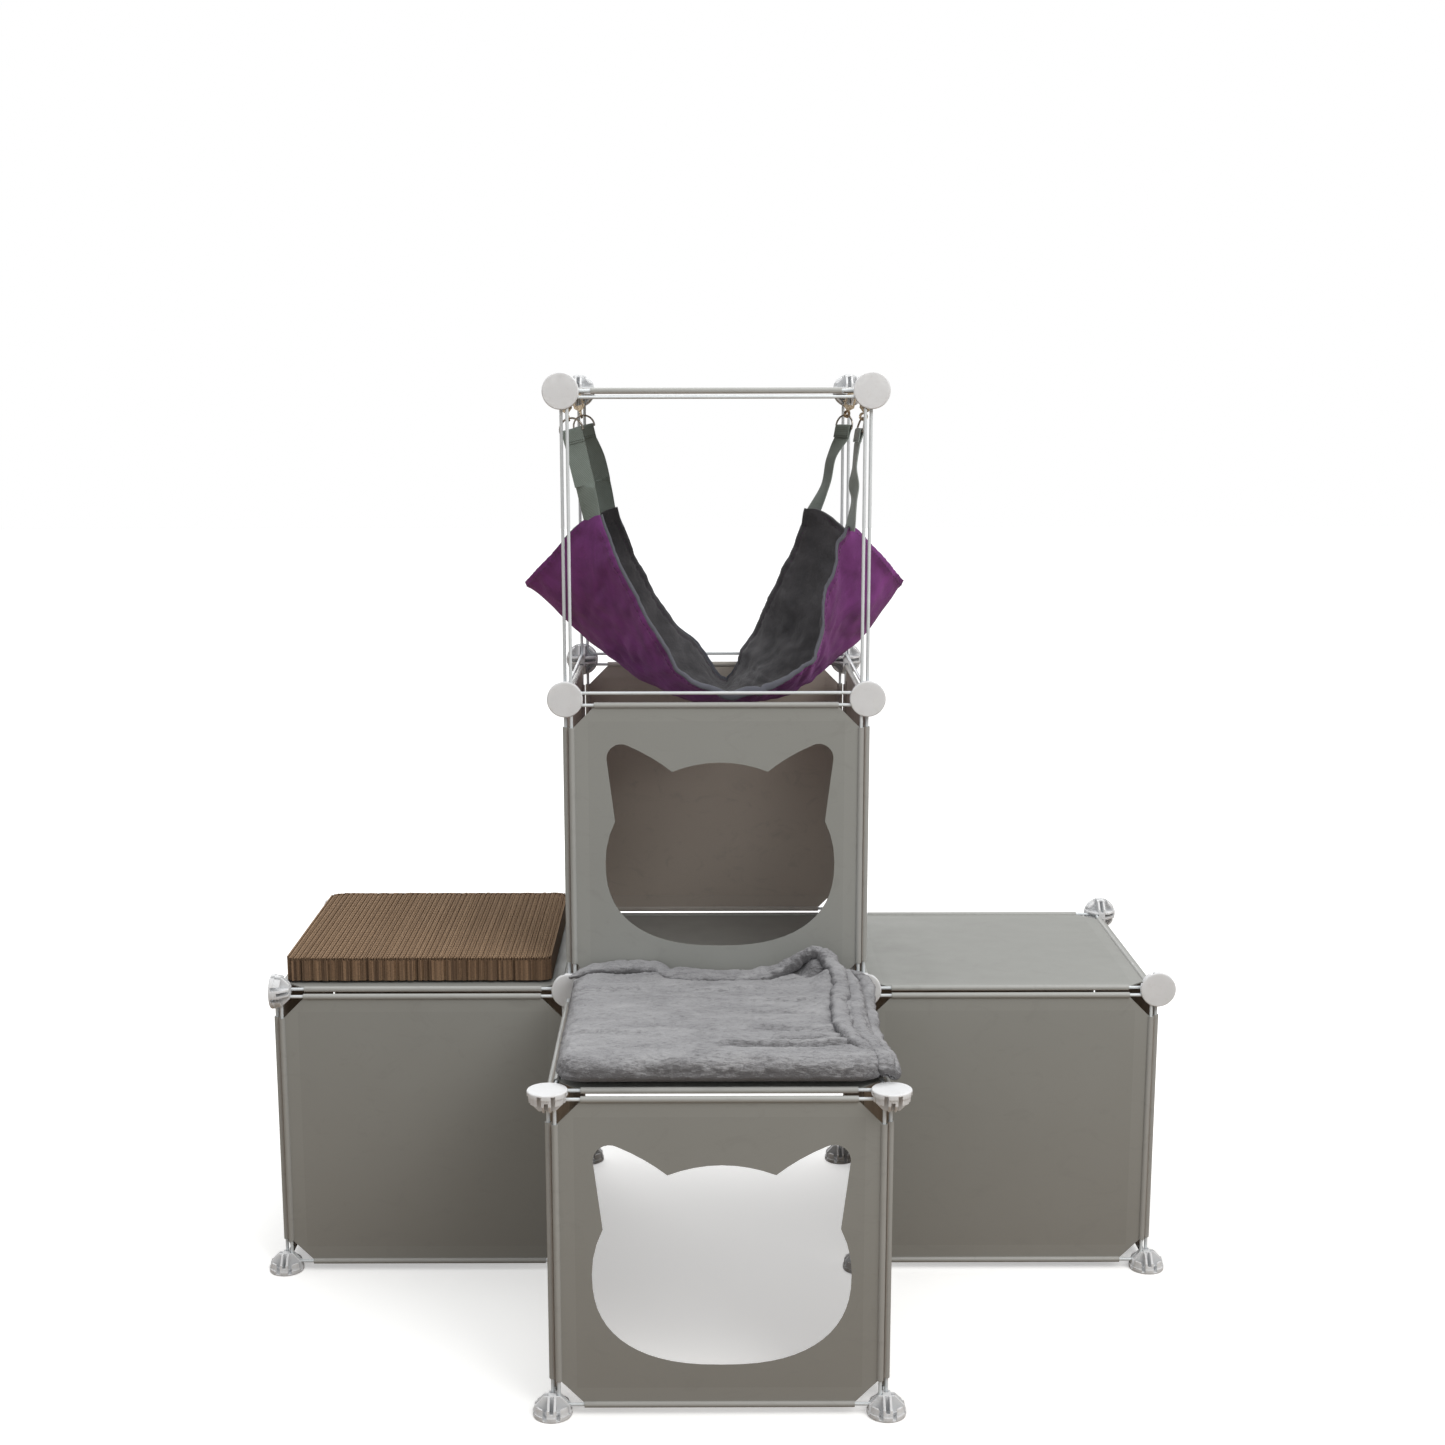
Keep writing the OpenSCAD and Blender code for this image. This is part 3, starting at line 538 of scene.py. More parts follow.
def add_flute(verts, faces, middle, crest, front, back, top, wander):
    """The wavy paper of one strip, standing open between its liners."""
    start, steps = len(verts), int((back - front) / FLUTE_LENGTH * FLUTE_STEPS)
    phase, lean = wander + random.uniform(-0.35, 0.35), random.uniform(-0.0003, 0.0003)
    for k in range(steps + 1):
        y = front + (back - front) * k / steps
        turn = math.tau * y / FLUTE_LENGTH + phase
        x = middle + crest * math.sin(turn)
        across = Vector((1, -crest * math.tau / FLUTE_LENGTH * math.cos(turn))).normalized()
        edge = top - FLUTE_DROP + lean * math.sin(9 * y + phase) + FLUTE_SWELL * math.sin(turn)
        for z in (top - CELL_DEPTH - FLUTE_SUNK, edge):
            for half in (-FLUTE_HALF, FLUTE_HALF):
                verts.append((x + half * across.x, y + half * across.y, z))
    for k in range(steps):
        a = start + 4 * k
        faces += [(a + 2, a + 6, a + 7, a + 3), (a, a + 4, a + 6, a + 2), (a + 5, a + 1, a + 3, a + 7)]
    last = start + 4 * steps
    faces += [(start, start + 2, start + 3, start + 1), (last + 1, last + 3, last + 2, last)]


def scratch_pad():
    """Strips of corrugated board on edge: full-height columns below, open flutes on top."""
    low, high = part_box("scratch_pad")
    count = round((high.x - low.x) / BOARD)
    width = (high.x - low.x) / count
    crest = 0.5 * (width - GROOVE - 0.0008)
    body, liners, flutes = ([], []), ([], []), ([], [])
    for i in range(count):
        x0, x1 = low.x + i * width, low.x + (i + 1) * width
        mid = (x0 + x1) / 2
        front = low.y + pad_inset(mid, low.x, high.x, FRONT_CORNER) + random.uniform(*STRIP_ENDS)
        back = high.y - pad_inset(mid, low.x, high.x, BACK_CORNER) - random.uniform(*STRIP_ENDS)
        # The outermost strips stop short of the pad's two sides, which are liners
        x0 = max(x0, low.x + 1.5 * LINER_HALF)
        x1 = min(x1, high.x - 1.5 * LINER_HALF)
        slab(*body, x0, x1, front, back, low.z, high.z - CELL_DEPTH)
        slab(*body, x0, x1, back - RIM_WIDTH, back, high.z - CELL_DEPTH, high.z - RIM_DROP)
        middle = mid + (0.5 if i % 2 else -0.5) * GROOVE
        add_flute(*flutes, middle, crest, front, back, high.z, 1.5 * wobble(mid * 22, 3.3, 0))
    for i in range(count + 1):
        x = min(max(low.x + i * width, low.x + LINER_HALF), high.x - LINER_HALF)
        inner = i % 2 == 1 and i < count
        drop = INNER_DROP if inner else random.uniform(*OUTER_DROP)
        short = INNER_SHORT if inner else 0.0
        front = low.y + pad_inset(x, low.x, high.x, FRONT_CORNER) + short + random.uniform(*LINER_ENDS)
        back = high.y - pad_inset(x, low.x, high.x, BACK_CORNER) - short - random.uniform(*LINER_ENDS)
        slab(*liners, x - LINER_HALF, x + LINER_HALF, front, back, low.z, high.z - drop)
    # The strips are painted much darker than the edges: painted shade in the open cells and on the pad's
    # front, with each board's own tone set at random
    strips = card_finish("kraft_strips", (0.285, 0.176, 0.101), (0.076, 0.043, 0.023), width)
    edges = card_finish("kraft_edges", (0.41, 0.272, 0.166), (0.29, 0.186, 0.110), width / 2,
                        paper=(0.150, 0.092, 0.052))
    for name, (verts, faces), finish in (("scratch_pad_strips", body, strips),
                                         ("scratch_pad_flutes", flutes, edges),
                                         ("scratch_pad_liners", liners, edges)):
        piece = new_mesh(name, verts, faces, [finish], smooth=False)
        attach(piece, "scratch_pad")
        if name == "scratch_pad_strips":
            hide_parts("scratch_pad")


# ---------- blanket ----------

# The folded stack: its thickness, its corners in (x, y), its edges' radius and the mesh's step
STACK_THICK = 0.033
STACK_LOW, STACK_HIGH = (-0.1755, -0.3625), (0.176, -0.0085)
STACK_ROUND = 0.026
STACK_STEP = 0.0024
# How far the lower half bulges on its sheet, as a share of the radius
STACK_BELLY = 0.20
# The valley in front of the rolled hem, from left to right, as (x, y)
BACK_VALLEY = [(-0.175, -0.034), (-0.120, -0.032), (-0.080, -0.029), (-0.055, -0.056),
               (-0.02, -0.066), (0.03, -0.069), (0.08, -0.068), (0.120, -0.066)]
# Creases across the top, as (x0, y0, x1, y1, depth, width)
CREASES = [
    (-0.004, -0.3237, 0.150, -0.316, 0.0075, 0.0034), (0.018, -0.202, 0.120, -0.207, 0.0030, 0.004),
    (0.040, -0.167, 0.130, -0.159, 0.0026, 0.004), (-0.175, -0.276, -0.082, -0.276, 0.0026, 0.004),
    (-0.16, -0.115, -0.085, -0.108, 0.0028, 0.005), (-0.05, -0.125, 0.06, -0.116, 0.0026, 0.0045),
    (0.03, -0.262, 0.14, -0.272, 0.0030, 0.0045), (-0.13, -0.225, -0.03, -0.232, 0.0018, 0.005),
    (0.055, -0.303, 0.15, -0.296, 0.0050, 0.004), (-0.15, -0.318, -0.05, -0.322, 0.0020, 0.005)]
# The rolled hem along the back, over the bunched corner and down the right side, and two ruffled
# hems outside it, each lower than the last: knots, half widths along them, half thickness and seed
HEMS = [
    ([(-0.184, -0.026, 0.3985), (-0.140, -0.021, 0.4075), (-0.086, -0.019, 0.4080),
      (-0.054, -0.036, 0.4040), (-0.010, -0.043, 0.4030), (0.035, -0.043, 0.4035),
      (0.068, -0.041, 0.4080), (0.092, -0.039, 0.4190), (0.108, -0.038, 0.4290),
      (0.122, -0.042, 0.4345), (0.135, -0.053, 0.4310), (0.146, -0.078, 0.420),
      (0.147, -0.120, 0.413), (0.142, -0.170, 0.411), (0.140, -0.220, 0.411),
      (0.141, -0.270, 0.411), (0.151, -0.308, 0.409), (0.162, -0.336, 0.402),
      (0.168, -0.352, 0.390)],
     (0.015, 0.016, 0.016, 0.019, 0.022, 0.020, 0.015, 0.012, 0.0115, 0.012, 0.0115, 0.011,
      0.011, 0.011, 0.011, 0.011, 0.011, 0.0115, 0.011), 0.0082, 11.0),
    ([(0.138, -0.048, 0.420), (0.155, -0.066, 0.412), (0.163, -0.105, 0.406),
      (0.162, -0.155, 0.405), (0.160, -0.215, 0.404), (0.162, -0.268, 0.404),
      (0.171, -0.310, 0.404), (0.179, -0.338, 0.399), (0.181, -0.355, 0.388)],
     (0.0105, 0.0105), 0.0072, 23.0),
    ([(0.150, -0.034, 0.400), (0.168, -0.026, 0.401), (0.182, -0.033, 0.396),
      (0.184, -0.060, 0.391), (0.180, -0.110, 0.390), (0.178, -0.170, 0.391),
      (0.177, -0.230, 0.391), (0.181, -0.285, 0.392), (0.187, -0.325, 0.392),
      (0.188, -0.352, 0.384)], (0.0098, 0.0098), 0.0074, 37.0)]
HEM_SAMPLES = 16
HEM_AROUND = 20


def fluff(p):
    """Uneven pile on a plush surface, as a height."""
    return (0.0011 * noise.noise(p * 95) + 0.0009 * wobble(p.x * 240, p.y * 360, p.z * 360)
            + 0.0006 * noise.noise(p * 620))


def groove(x, y, x0, y0, x1, y1, depth, width):
    """A crease pressed in from (x0, y0) to (x1, y1), fading at both ends."""
    f = (x - x0) / (x1 - x0)
    line = y0 + (y1 - y0) * f + 0.004 * wobble(x * 18, y0 * 50, 0)
    side = y - line
    return band(f, -0.12, 0.15, 0.82, 1.1) * depth * (
        0.7 * hump(side - 2.2 * width, 1.6 * width) - hump(side, width))


def back_valley(x):
    """Where the valley in front of the rolled hem lies at x."""
    for (x0, y0), (x1, y1) in zip(BACK_VALLEY, BACK_VALLEY[1:]):
        if x <= x1:
            return y0 + (y1 - y0) * smooth_step(x, x0, x1)
    return BACK_VALLEY[-1][1]


def stack_height(x, y):
    """Lift of the upper side over the plain folded stack."""
    away = y - back_valley(x) + 0.003 * wobble(x * 30, 3.1, 0)
    deep = 0.0090 + 0.0055 * smooth_step(x, -0.09, -0.05)
    lift = -0.0050 * smooth_step(away, -0.001, 0.007) - deep * hump(away + 0.002, 0.0052)
    lift += sum(groove(x, y, *c) for c in CREASES)
    # A pressed fold line across the left part, and slow waves all over
    fold = x + 0.0853 + 0.051 * (y + 0.001)
    lift -= 0.0016 * hump(fold, 0.0022) * (0.6 + 0.4 * wobble(0, y * 40, 5))
    lift += 0.0032 * wobble(x * 8, y * 19, 1.7) + 0.0015 * wobble(x * 24, y * 48, 4.2)
    # The bunched corner: a peak, its slope down to the front, and the hollow to its left
    peak = hump(x - 0.122, 0.025) * hump(y + 0.044, 0.026)
    slope = hump(x - 0.140 - 0.05 * (y + 0.05), 0.020) * band(-y, 0.02, 0.05, 0.06, 0.20)
    hollow = hump(x - 0.104 + 0.5 * (y + 0.05), 0.0075) * hump(y + 0.052, 0.022)
    return lift + 0.020 * peak + 0.010 * slope - 0.010 * hollow * smooth_step(x, 0.08, 0.10)


def add_hem(verts, faces, bottom, knots, half_widths, half_thick, seed):
    """A ruffled roll of plush along the knots, kept above bottom."""
    samples = HEM_SAMPLES * len(knots)
    path = []
    for i in range(samples + 1):
        p = spline(knots, i / samples)
        path.append(p + Vector((0.0028 * wobble(p.y * 55, seed, 0), 0,
                                0.0016 * wobble(p.y * 70, seed, 9))))

    def squared(value):
        return math.copysign(abs(value) ** 0.8, value)

    def section(f):
        ends = min(smooth_step(f, -0.02, 0.06), 1 - smooth_step(f, 0.95, 1.03))
        along = f * samples / 190
        half_width = spline([(w, 0, 0) for w in half_widths], f).x
        wide = half_width * ends * (1 + 0.28 * wobble(along * 22, seed, 2))
        tall = half_thick * ends * (1 + 0.26 * wobble(along * 27, seed, 6))
        lean = 0.30 * smooth_step(f, 0.35, 0.5) + 0.4 * wobble(along * 15, seed, 4)
        ring = []
        for side, up in ellipse(1, 1, HEM_AROUND):
            u, v = wide * squared(side), tall * squared(up)
            ring.append((u * math.cos(lean) - v * math.sin(lean),
                         u * math.sin(lean) + v * math.cos(lean)))
        return ring

    ring_verts, ring_faces = sweep(path, section, start=len(verts))
    for k, v in enumerate(ring_verts):
        away = v - path[k // HEM_AROUND]
        out = away.normalized() if away.length > 1e-6 else Vector((0, 0, 1))
        moved = v + out * (1.4 * fluff(v))
        moved.z = max(moved.z, bottom + 0.0004)
        verts.append(moved)
    faces += ring_faces


def blanket():
    """A plush throw folded into a stack, with its hems on the right and a bunched-up corner."""
    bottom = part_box("blanket")[0].z
    low, high = Vector((*STACK_LOW, bottom)), Vector((*STACK_HIGH, bottom + STACK_THICK))
    radius = Vector((STACK_ROUND, STACK_ROUND, STACK_THICK / 2))
    size = high - low
    nx, ny, nz = (max(2, round(s / STACK_STEP)) for s in size)

    def shape(p):
        """Rounds the plain box at p, then swells and creases its upper side."""
        core = Vector(min(max(p[k], low[k] + radius[k]), high[k] - radius[k]) for k in range(3))
        d = Vector(((p - core)[k] / radius[k] for k in range(3)))
        if d.length > 1e-9:
            d = d.normalized() * max(abs(c) for c in d)
        q = core + d * radius
        q.z += smooth_step(d.z, 0.1, 0.9) * stack_height(q.x, q.y)
        side = Vector((d.x, d.y, 0))
        q += side * (1 - abs(d.z)) * (0.0015 + 0.003 * wobble(q.x * 14, q.y * 14, q.z * 20))
        if d.z < 0:
            # The lower half bulges down on to its sheet instead of curling under
            q += side * STACK_ROUND * STACK_BELLY * band(-d.z, 0.0, 0.5, 0.80, 1.0)
        out = d.normalized() if d.length > 1e-9 else Vector((0, 0, 1))
        return q + out * fluff(q) * smooth_step(d.z, -0.85, -0.5)

    verts, faces, index = [], [], {}

    def corner(*key):
        """The number of the surface point at grid place key, which is made when first asked for."""
        if key not in index:
            i, j, k = key
            index[key] = len(verts)
            verts.append(shape(low + Vector((size.x * i / nx, size.y * j / ny, size.z * k / nz))))
        return index[key]

    def add_face(*keys):
        faces.append([corner(*key) for key in keys])

    for i in range(nx):
        for j in range(ny):
            add_face((i, j + 1, 0), (i + 1, j + 1, 0), (i + 1, j, 0), (i, j, 0))
            add_face((i, j, nz), (i + 1, j, nz), (i + 1, j + 1, nz), (i, j + 1, nz))
    for k in range(nz):
        for i in range(nx):
            add_face((i, 0, k), (i + 1, 0, k), (i + 1, 0, k + 1), (i, 0, k + 1))
            add_face((i + 1, ny, k), (i, ny, k), (i, ny, k + 1), (i + 1, ny, k + 1))
        for j in range(ny):
            add_face((0, j + 1, k), (0, j, k), (0, j, k + 1), (0, j + 1, k + 1))
            add_face((nx, j, k), (nx, j + 1, k), (nx, j + 1, k + 1), (nx, j, k + 1))
    for hem in HEMS:
        add_hem(verts, faces, bottom, *hem)

    piece = new_mesh("folded_blanket", verts, faces, [plush_finish()])
    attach(piece, "blanket")
    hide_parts("blanket")


# ---------- hammock ----------

def lifted(points):
    """Points given above the lowest lattice level, moved into the row frame."""
    return [Vector((x, y, z + NODE_Z)) for x, y, z in points]


# The bed's two long edges and the line along its middle, from the left end to the right
FRONT_EDGE = lifted([(-0.1409, 0.050, 0.9608), (-0.1165, 0.034, 0.900), (-0.086, 0.022, 0.840),
                     (-0.046, 0.0135, 0.779), (0.002, 0.0105, 0.7435), (0.046, 0.0105, 0.7475),
                     (0.0905, 0.0125, 0.7635), (0.1225, 0.018, 0.794), (0.1315, 0.026, 0.850),
                     (0.145, 0.038, 0.902), (0.1605, 0.050, 0.9440)])
BACK_EDGE = lifted([(-0.1337, 0.320, 0.9544), (-0.117, 0.331, 0.902), (-0.093, 0.342, 0.853),
                    (-0.062, 0.351, 0.798), (-0.027, 0.357, 0.763), (0.0125, 0.360, 0.712),
                    (0.036, 0.358, 0.738), (0.058, 0.352, 0.789), (0.082, 0.343, 0.838),
                    (0.108, 0.331, 0.896), (0.1250, 0.320, 0.9521)])
KEEL = lifted([(-0.2456, 0.185, 0.867), (-0.197, 0.185, 0.821), (-0.148, 0.185, 0.776),
               (-0.098, 0.185, 0.739), (-0.050, 0.185, 0.717), (0.004, 0.185, 0.7105),
               (0.052, 0.185, 0.716), (0.098, 0.185, 0.7265), (0.146, 0.185, 0.753),
               (0.196, 0.185, 0.802), (0.2442, 0.185, 0.868)])
# Outer ends of the short straight edges that the straps are sewn into
LAPELS = {(-1, -1): Vector((-0.1623, 0.064, 0.9563 + NODE_Z)),
          (-1, 1): Vector((-0.1541, 0.306, 0.9494 + NODE_Z)),
          (1, -1): Vector((0.1690, 0.069, 0.9475 + NODE_Z)),
          (1, 1): Vector((0.1437, 0.304, 0.9538 + NODE_Z))}
# How much of half the bed's width those edges take, how far their outer ends are rounded off,
# and the power of the curve in which the rest of the end hangs
LAPEL_SHARE = 0.14
LAPEL_ROUND = 0.09
END_SAG = 1.5
# The hems' stitching, as a share of the way from the middle to the long edges and to the ends
HEM_LINE = 0.955
END_HEM_LINE = 0.972
BED_ROWS, BED_COLUMNS = 236, 150
BED_THICK = 0.0042
# How far inside the bay's front and back planes the cloth is kept, clear of the wires there
BED_CLEAR = 0.0088
# The binding's half thickness, its half height, and what that gains at the bottom of the bed
BINDING_HALF, BINDING_TALL, BINDING_SPREAD = 0.0017, 0.0026, 0.0036
BINDING_BOTTOM, BINDING_REACH = 0.47, 0.10
HEM_THREAD_R = 0.00032


def end_edge(end, t):
    """A point on the bed's left (-1) or right (1) end, t from the front corner to the back one."""
    side = -1 if t < 0 else 1
    long_edge = FRONT_EDGE if side < 0 else BACK_EDGE
    inner = long_edge[0 if end < 0 else -1]
    outer = LAPELS[(end, side)]
    tip = KEEL[0 if end < 0 else -1]
    corner = 1 - LAPEL_SHARE

    def straight(c):
        if c > corner:
            return outer.lerp(inner, (c - corner) / LAPEL_SHARE)
        hanging = tip.lerp(outer, (c / corner) ** END_SAG)
        hanging.y = tip.y + (outer.y - tip.y) * c / corner
        return hanging

    c = abs(t)
    f = (c - corner + LAPEL_ROUND) / (2 * LAPEL_ROUND)
    if 0 < f < 1:
        low, high = straight(corner - LAPEL_ROUND), straight(corner + LAPEL_ROUND)
        return low.lerp(outer, f).lerp(outer.lerp(high, f), f)
    return straight(c)


def bed_surface(s, t):
    """The bed's middle surface: s from the left end to the right, t from front to back."""
    f = (s + 1) / 2
    edge = spline(FRONT_EDGE if t < 0 else BACK_EDGE, f)
    keel = spline(KEEL, f)
    c = abs(t)
    p = keel.lerp(edge, c)
    bowl = 2.1 - 1.1 * abs(s) ** 1.3
    p.z = keel.z + (edge.z - keel.z) * c ** bowl
    near = smooth_step(abs(s), 0.62, 1.0)
    if near > 0:
        end = -1 if s < 0 else 1
        straight = KEEL[0 if end < 0 else -1].lerp(
            (FRONT_EDGE if t < 0 else BACK_EDGE)[0 if end < 0 else -1], c)
        p += near * (end_edge(end, t) - straight)
    return p


def bed_wrinkle(s, t):
    """How far the cloth stands off its smooth shape."""
    c = abs(t)
    loose = 0.45 + 0.55 * math.sin(math.pi * min(1.0, c * 1.02))
    wrinkle = loose * (0.0056 * wobble(s * 5.2 + t, t * 1.5, 2.3)
                       + 0.0042 * wobble(s * 11 - 2 * t, t * 3.4, 8.1)
                       + 0.0020 * wobble(s * 24, t * 11, 4.4))
    # The hems' stitching draws the cloth in along a line just inside every edge
    wrinkle -= 0.0011 * hump(c - HEM_LINE, 0.016) + 0.0011 * hump(abs(s) - END_HEM_LINE, 0.010)
    puckers = math.sin(t * 95 + 4 * wobble(s, t * 7, 6))
    wrinkle += 0.0006 * hump(abs(s) - 0.985, 0.02) * puckers
    # A standing ridge along the right half, and two pressed lines on the left one
    ridge = hump(t + 0.10 - 0.25 * (s - 0.5), 0.045) * band(s, 0.22, 0.40, 0.58, 0.78)
    upper_line = hump(s + 0.72 - 0.10 * t, 0.020) * band(-t, 0.15, 0.45, 0.70, 0.95)
    lower_line = hump(s + 0.52 + 0.12 * t, 0.022) * smooth_step(-t, 0.25, 0.50)
    wrinkle += 0.0038 * ridge + 0.0022 * upper_line - 0.0024 * lower_line
    # Puckers and slow waves along the long edges
    puckers = math.sin(s * 120 + 9 * wobble(s * 6, t, 1))
    wrinkle += 0.0007 * hump(c - 0.95, 0.05) * puckers
    wave = wobble(s * 9.5 + 3 * t, 7.7, 1.2) * (1 - hump(s - 0.035, 0.16))
    wrinkle += 0.0042 * smooth_step(c, 0.45, 1.0) * wave
    # The loose fold near the right of the front edge
    loose_fold = 0.0034 * hump(s - 0.30, 0.035) - 0.0030 * hump(s - 0.365, 0.035)
    wrinkle += loose_fold * smooth_step(-t, 0.55, 0.98)
    # Soft crease across the bottom, where the bed folds front to back
    wrinkle -= 0.0026 * hump(s - 0.035, 0.022)
    # The sewn corners are held flat
    return wrinkle * (1 - smooth_step(abs(s), 0.90, 0.98) * smooth_step(c, 0.74, 0.88))


def hammock():
    """The two-layer bed with its bound long edges and stitched hems."""
    nylon, fleece = nylon_finish(), fleece_finish()
    binding_finish = webbing_finish("slate_binding", (0.145, 0.150, 0.185), (0.085, 0.088, 0.110))
    rows, columns = BED_ROWS + 1, BED_COLUMNS + 1
    grid = [(2 * i / BED_ROWS - 1, 2 * j / BED_COLUMNS - 1)
            for i in range(rows) for j in range(columns)]
    plain = [bed_surface(s, t) for s, t in grid]
    verts, normals = [], []
    for k, (s, t) in enumerate(grid):
        i, j = divmod(k, columns)
        along = plain[min(i + 1, BED_ROWS) * columns + j] - plain[max(i - 1, 0) * columns + j]
        across = plain[i * columns + min(j + 1, BED_COLUMNS)] - plain[i * columns + max(j - 1, 0)]
        normals.append(along.cross(across).normalized())
        p = plain[k] + normals[k] * bed_wrinkle(s, t)
        p.y = min(max(p.y, BED_CLEAR), PITCH - BED_CLEAR)
        verts.append(p)
    bed = new_mesh("hammock_cloth", verts, quads(rows, columns), [nylon, fleece, binding_finish])
    shell = bed.modifiers.new("layers", "SOLIDIFY")
    shell.thickness = BED_THICK
    shell.offset = 0
    shell.material_offset = 1
    shell.material_offset_rim = 1

    def edging(f):
        """The binding's section: a narrow roll that opens flat at the bottom of the bed."""
        tall = BINDING_TALL + BINDING_SPREAD * hump(f - BINDING_BOTTOM, BINDING_REACH)
        return ellipse(BINDING_HALF, tall, 10)

    pieces = []
    for name, j in (("front_binding", 0), ("back_binding", BED_COLUMNS)):
        path = [verts[i * columns + j] for i in range(rows)]
        pieces.append(new_mesh(name, *sweep(path, edging), [binding_finish]))

    # Hem stitches on both faces, along the long edges and across the two ends, clear of the straps
    thread = webbing_finish("plum_thread", (0.11, 0.035, 0.11), (0.07, 0.02, 0.07))
    hem_column = round(BED_COLUMNS * (1 - HEM_LINE) / 2)
    hem_row = round(BED_ROWS * (1 - END_HEM_LINE) / 2)
    clear_rows, clear_columns = 3 * hem_row, round(BED_COLUMNS * LAPEL_SHARE / 2) + 2
    runs = [[i * columns + j for i in range(clear_rows, rows - clear_rows)]
            for j in (hem_column, BED_COLUMNS - hem_column)]
    runs += [[i * columns + j for j in range(clear_columns, columns - clear_columns)]
             for i in (hem_row, BED_ROWS - hem_row)]
    stitches = ([], [])
    for run in runs:
        for here, there in zip(run[::2], run[1::2]):
            for outward in (-normals[here], normals[here]):
                lift = outward * (BED_THICK / 2 + 0.0002)
                add_stitch(*stitches, verts[here] + lift, verts[there] + lift, outward * 0.0004,
                           HEM_THREAD_R)
    pieces.append(new_mesh("hem_stitches", *stitches, [thread]))
    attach(bed, "hammock")
    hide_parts("hammock_bed")
    for piece in pieces:
        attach(piece, "hammock")


# ---------- straps ----------

SLING_TILT = math.radians(13.6)
# The D-ring's bar below the wire that the hook hangs on, and the webbing's loop round it
BAR_DROP = 0.04195
BAR_LOOP_R = 0.0024
WEB_HALF = 0.0125
WEB_THICK = 0.0018
# The doubled part's two ends below the bar, and how far its two layers stand from its middle there
SEWN_LENGTH, SEWN_START = 0.0145, 0.002
SEWN_GAP, LOOP_GAP = 0.0011, 0.0023
# The single webbing starts this far below the doubled part and off its middle
SINGLE_DROP, SINGLE_SHIFT = 0.0015, 0.0008
# Rows of stitches, by their depth below the bar, and each stitch's spacing, half length and thread
STITCH_ROWS = (0.0045, SEWN_LENGTH - 0.0022)
STITCH_SPACING, STITCH_HALF, STITCH_THREAD_R = WEB_HALF / 4.6, 0.0009, 0.00028
# Webbing that is turned less than this hangs flat in its sling's plane
FLAT_TURN = 0.3
# Each strap: the degrees that its face is turned from the front at the ring, and its knots down to
# the bed's corner, as (x, y, height above the lowest lattice level, degrees of turn)
STRAPS = {
    "front_left": (0, [(-0.1655, 0.0500, 1.020, -8), (-0.1575, 0.0525, 0.985, -20),
                       (-0.1517, 0.0565, 0.954, -30)]),
    "back_left": (0, [(-0.1600, 0.3200, 1.020, 8), (-0.1520, 0.3198, 0.985, 18),
                      (-0.1444, 0.3145, 0.947, 30)]),
    "back_right": (-45, [(0.1585, 0.3200, 1.020, -66), (0.1515, 0.3200, 0.985, -68),
                         (0.1345, 0.3190, 0.948, -45)]),
    "front_right": (-80, [(0.1695, 0.0505, 1.020, -84), (0.1690, 0.0520, 0.9955, -66),
                          (0.1694, 0.0540, 0.975, -80), (0.1650, 0.0585, 0.940, -66)])}


def webbing_mesh(name, line, finish):
    """Webbing along line, a list of (point, width direction), a little thinner at its edges."""
    verts = []
    across = 8
    for k, (p, wide) in enumerate(line):
        before, after = line[max(k - 1, 0)][0], line[min(k + 1, len(line) - 1)][0]
        out = wide.cross((after - before).normalized()).normalized()
        for face, order in ((1, range(across + 1)), (-1, range(across, -1, -1))):
            for j in order:
                share = 2 * j / across - 1
                half = WEB_THICK / 2 * (1 - 0.25 * abs(share) ** 6)
                verts.append(p + wide * WEB_HALF * share + out * face * half)
    ring = 2 * (across + 1)
    faces = quads(len(line), ring, closed=True)
    faces.append(tuple(range(ring)))
    faces.append(tuple((len(line) - 1) * ring + k for k in reversed(range(ring))))
    piece = new_mesh(name, verts, faces, [finish])
    piece.data.set_sharp_from_angle(angle=math.radians(50))
    return piece


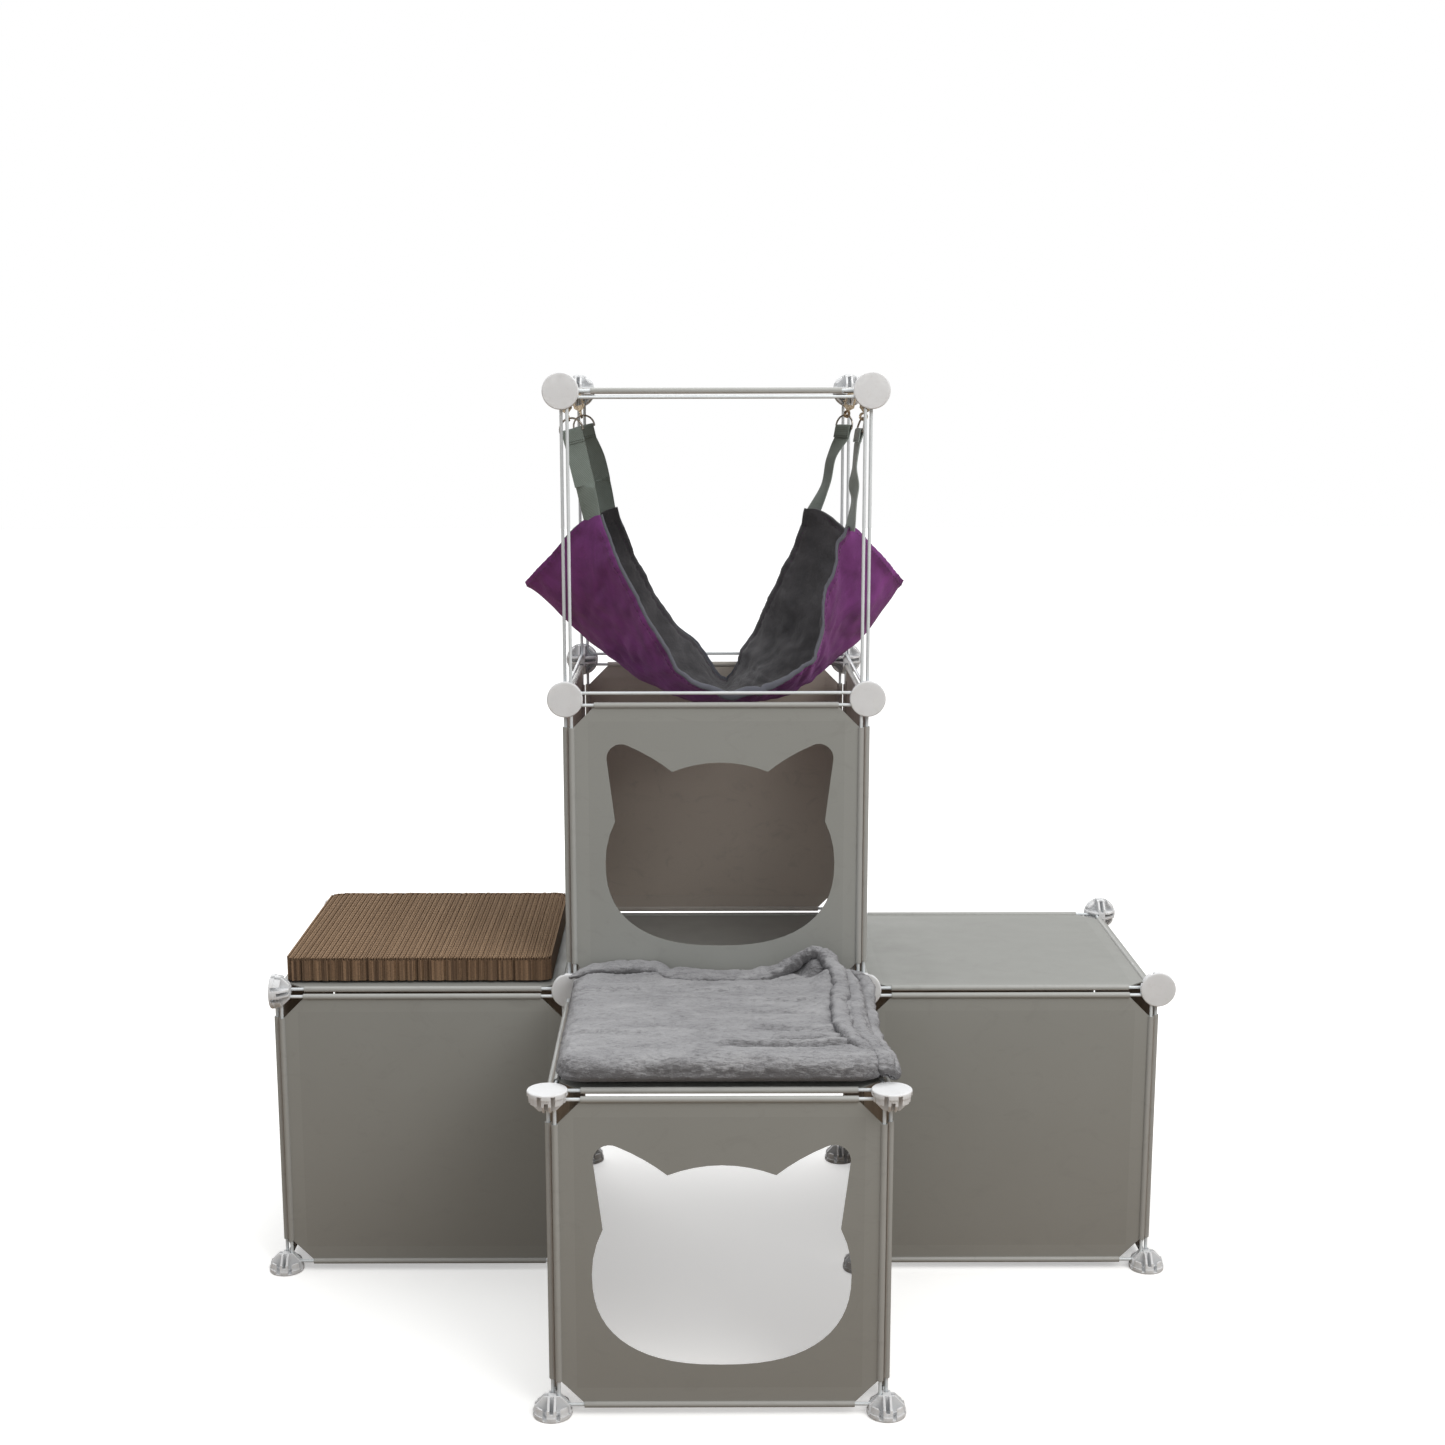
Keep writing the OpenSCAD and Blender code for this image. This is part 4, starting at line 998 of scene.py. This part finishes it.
def strap(name, hang, first_turn, knots, finish, thread):
    """A webbing strap: looped round the D-ring's bar, sewn, then hanging to the bed's corner."""
    side = -1 if name.endswith("left") else 1
    body = "left_slings" if side < 0 else "right_slings"
    tilt = side * SLING_TILT
    down = Vector((-math.sin(tilt), 0, -math.cos(tilt)))
    bar = hang + down * BAR_DROP

    def frame_at(turn):
        """Width direction and face normal of the webbing at that turn."""
        if abs(turn) < FLAT_TURN:
            wide = Vector((math.cos(tilt), 0, -math.sin(tilt)))
        else:
            wide = Vector((math.cos(turn), math.sin(turn), 0))
        return wide, wide.cross(down).normalized()

    wide, face = frame_at(first_turn)
    line = []
    # Under the sewn fold's loose end, up round the bar and down again
    fold_steps, loop_steps, hang_steps = 8, 14, 70
    for i in range(fold_steps + 1):
        f = i / fold_steps
        line.append((bar + down * (SEWN_LENGTH * (1 - f) + SEWN_START * f)
                     - face * (SEWN_GAP + (LOOP_GAP - SEWN_GAP) * f), wide))
    for i in range(1, loop_steps):
        a = math.pi * i / loop_steps
        line.append((bar - (face * math.cos(a) + down * math.sin(a)) * BAR_LOOP_R, wide))
    for i in range(fold_steps + 1):
        f = i / fold_steps
        line.append((bar + down * (SEWN_START + (SEWN_LENGTH - SEWN_START) * f)
                     + face * (LOOP_GAP - (LOOP_GAP - SEWN_GAP) * f), wide))
    start = bar + down * (SEWN_LENGTH + SINGLE_DROP) + face * SINGLE_SHIFT
    route = [start] + [Vector(knot[:3]) for knot in knots]
    turns = [first_turn] + [knot[3] for knot in knots]
    for i in range(hang_steps + 1):
        f = i / hang_steps
        k = min(int(f * len(knots)), len(knots) - 1)
        turn = turns[k] + (turns[k + 1] - turns[k]) * smooth_step(f * len(knots) - k, 0, 1)
        line.append((spline(route, f), frame_at(turn)[0]))
    piece = webbing_mesh(f"{name}_webbing", line, finish)

    # Two rows of stitches through the doubled part, on both of its faces
    seam = ([], [])
    for row in STITCH_ROWS:
        for k in range(-4, 5):
            for outward in (-face, face):
                middle = bar + down * row + wide * STITCH_SPACING * k + outward * 0.0025
                reach = wide * STITCH_HALF
                add_stitch(*seam, middle - reach, middle + reach, outward * 0.0002, STITCH_THREAD_R)
    stitches = new_mesh(f"{name}_stitches", *seam, [thread])
    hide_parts(f"{name}_strap")
    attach(stitches, body)
    if side < 0:
        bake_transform(piece)
    else:
        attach(piece, body)


def straps():
    """The four straps, each under its own hook. The front right one is the same webbing, painted paler as
    painted reflected light.
    """
    thread = webbing_finish("dark_thread", (0.07, 0.08, 0.075), (0.04, 0.045, 0.042))
    sage = webbing_finish("sage_webbing", (0.245, 0.295, 0.268), (0.18, 0.218, 0.196))
    # The front right strap's webbing is painted paler than the others: painted light reflected off it
    painted_light = webbing_finish("painted_light_sage_webbing", (0.40, 0.45, 0.43), (0.25, 0.295, 0.275))
    swings = {j["name"]: j["pos_m"] for j in frame["joints"] if j["name"].endswith("_sling_swing")}
    for name, (first_turn, knots) in STRAPS.items():
        end, side = name.split("_")
        # The hooks on both sides hang at the same depth
        low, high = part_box(f"{end}_left_hook")
        wire_x, _, wire_z = swings[f"{side}_sling_swing"]
        strap(name, Vector((wire_x, (low.y + high.y) / 2, wire_z)), math.radians(first_turn),
              [(x, y, z + NODE_Z, math.radians(turn)) for x, y, z, turn in knots],
              painted_light if name == "front_right" else sage, thread)


add_camera()
add_studio()
paint_frame()
scratch_pad()
blanket()
hammock()
straps()
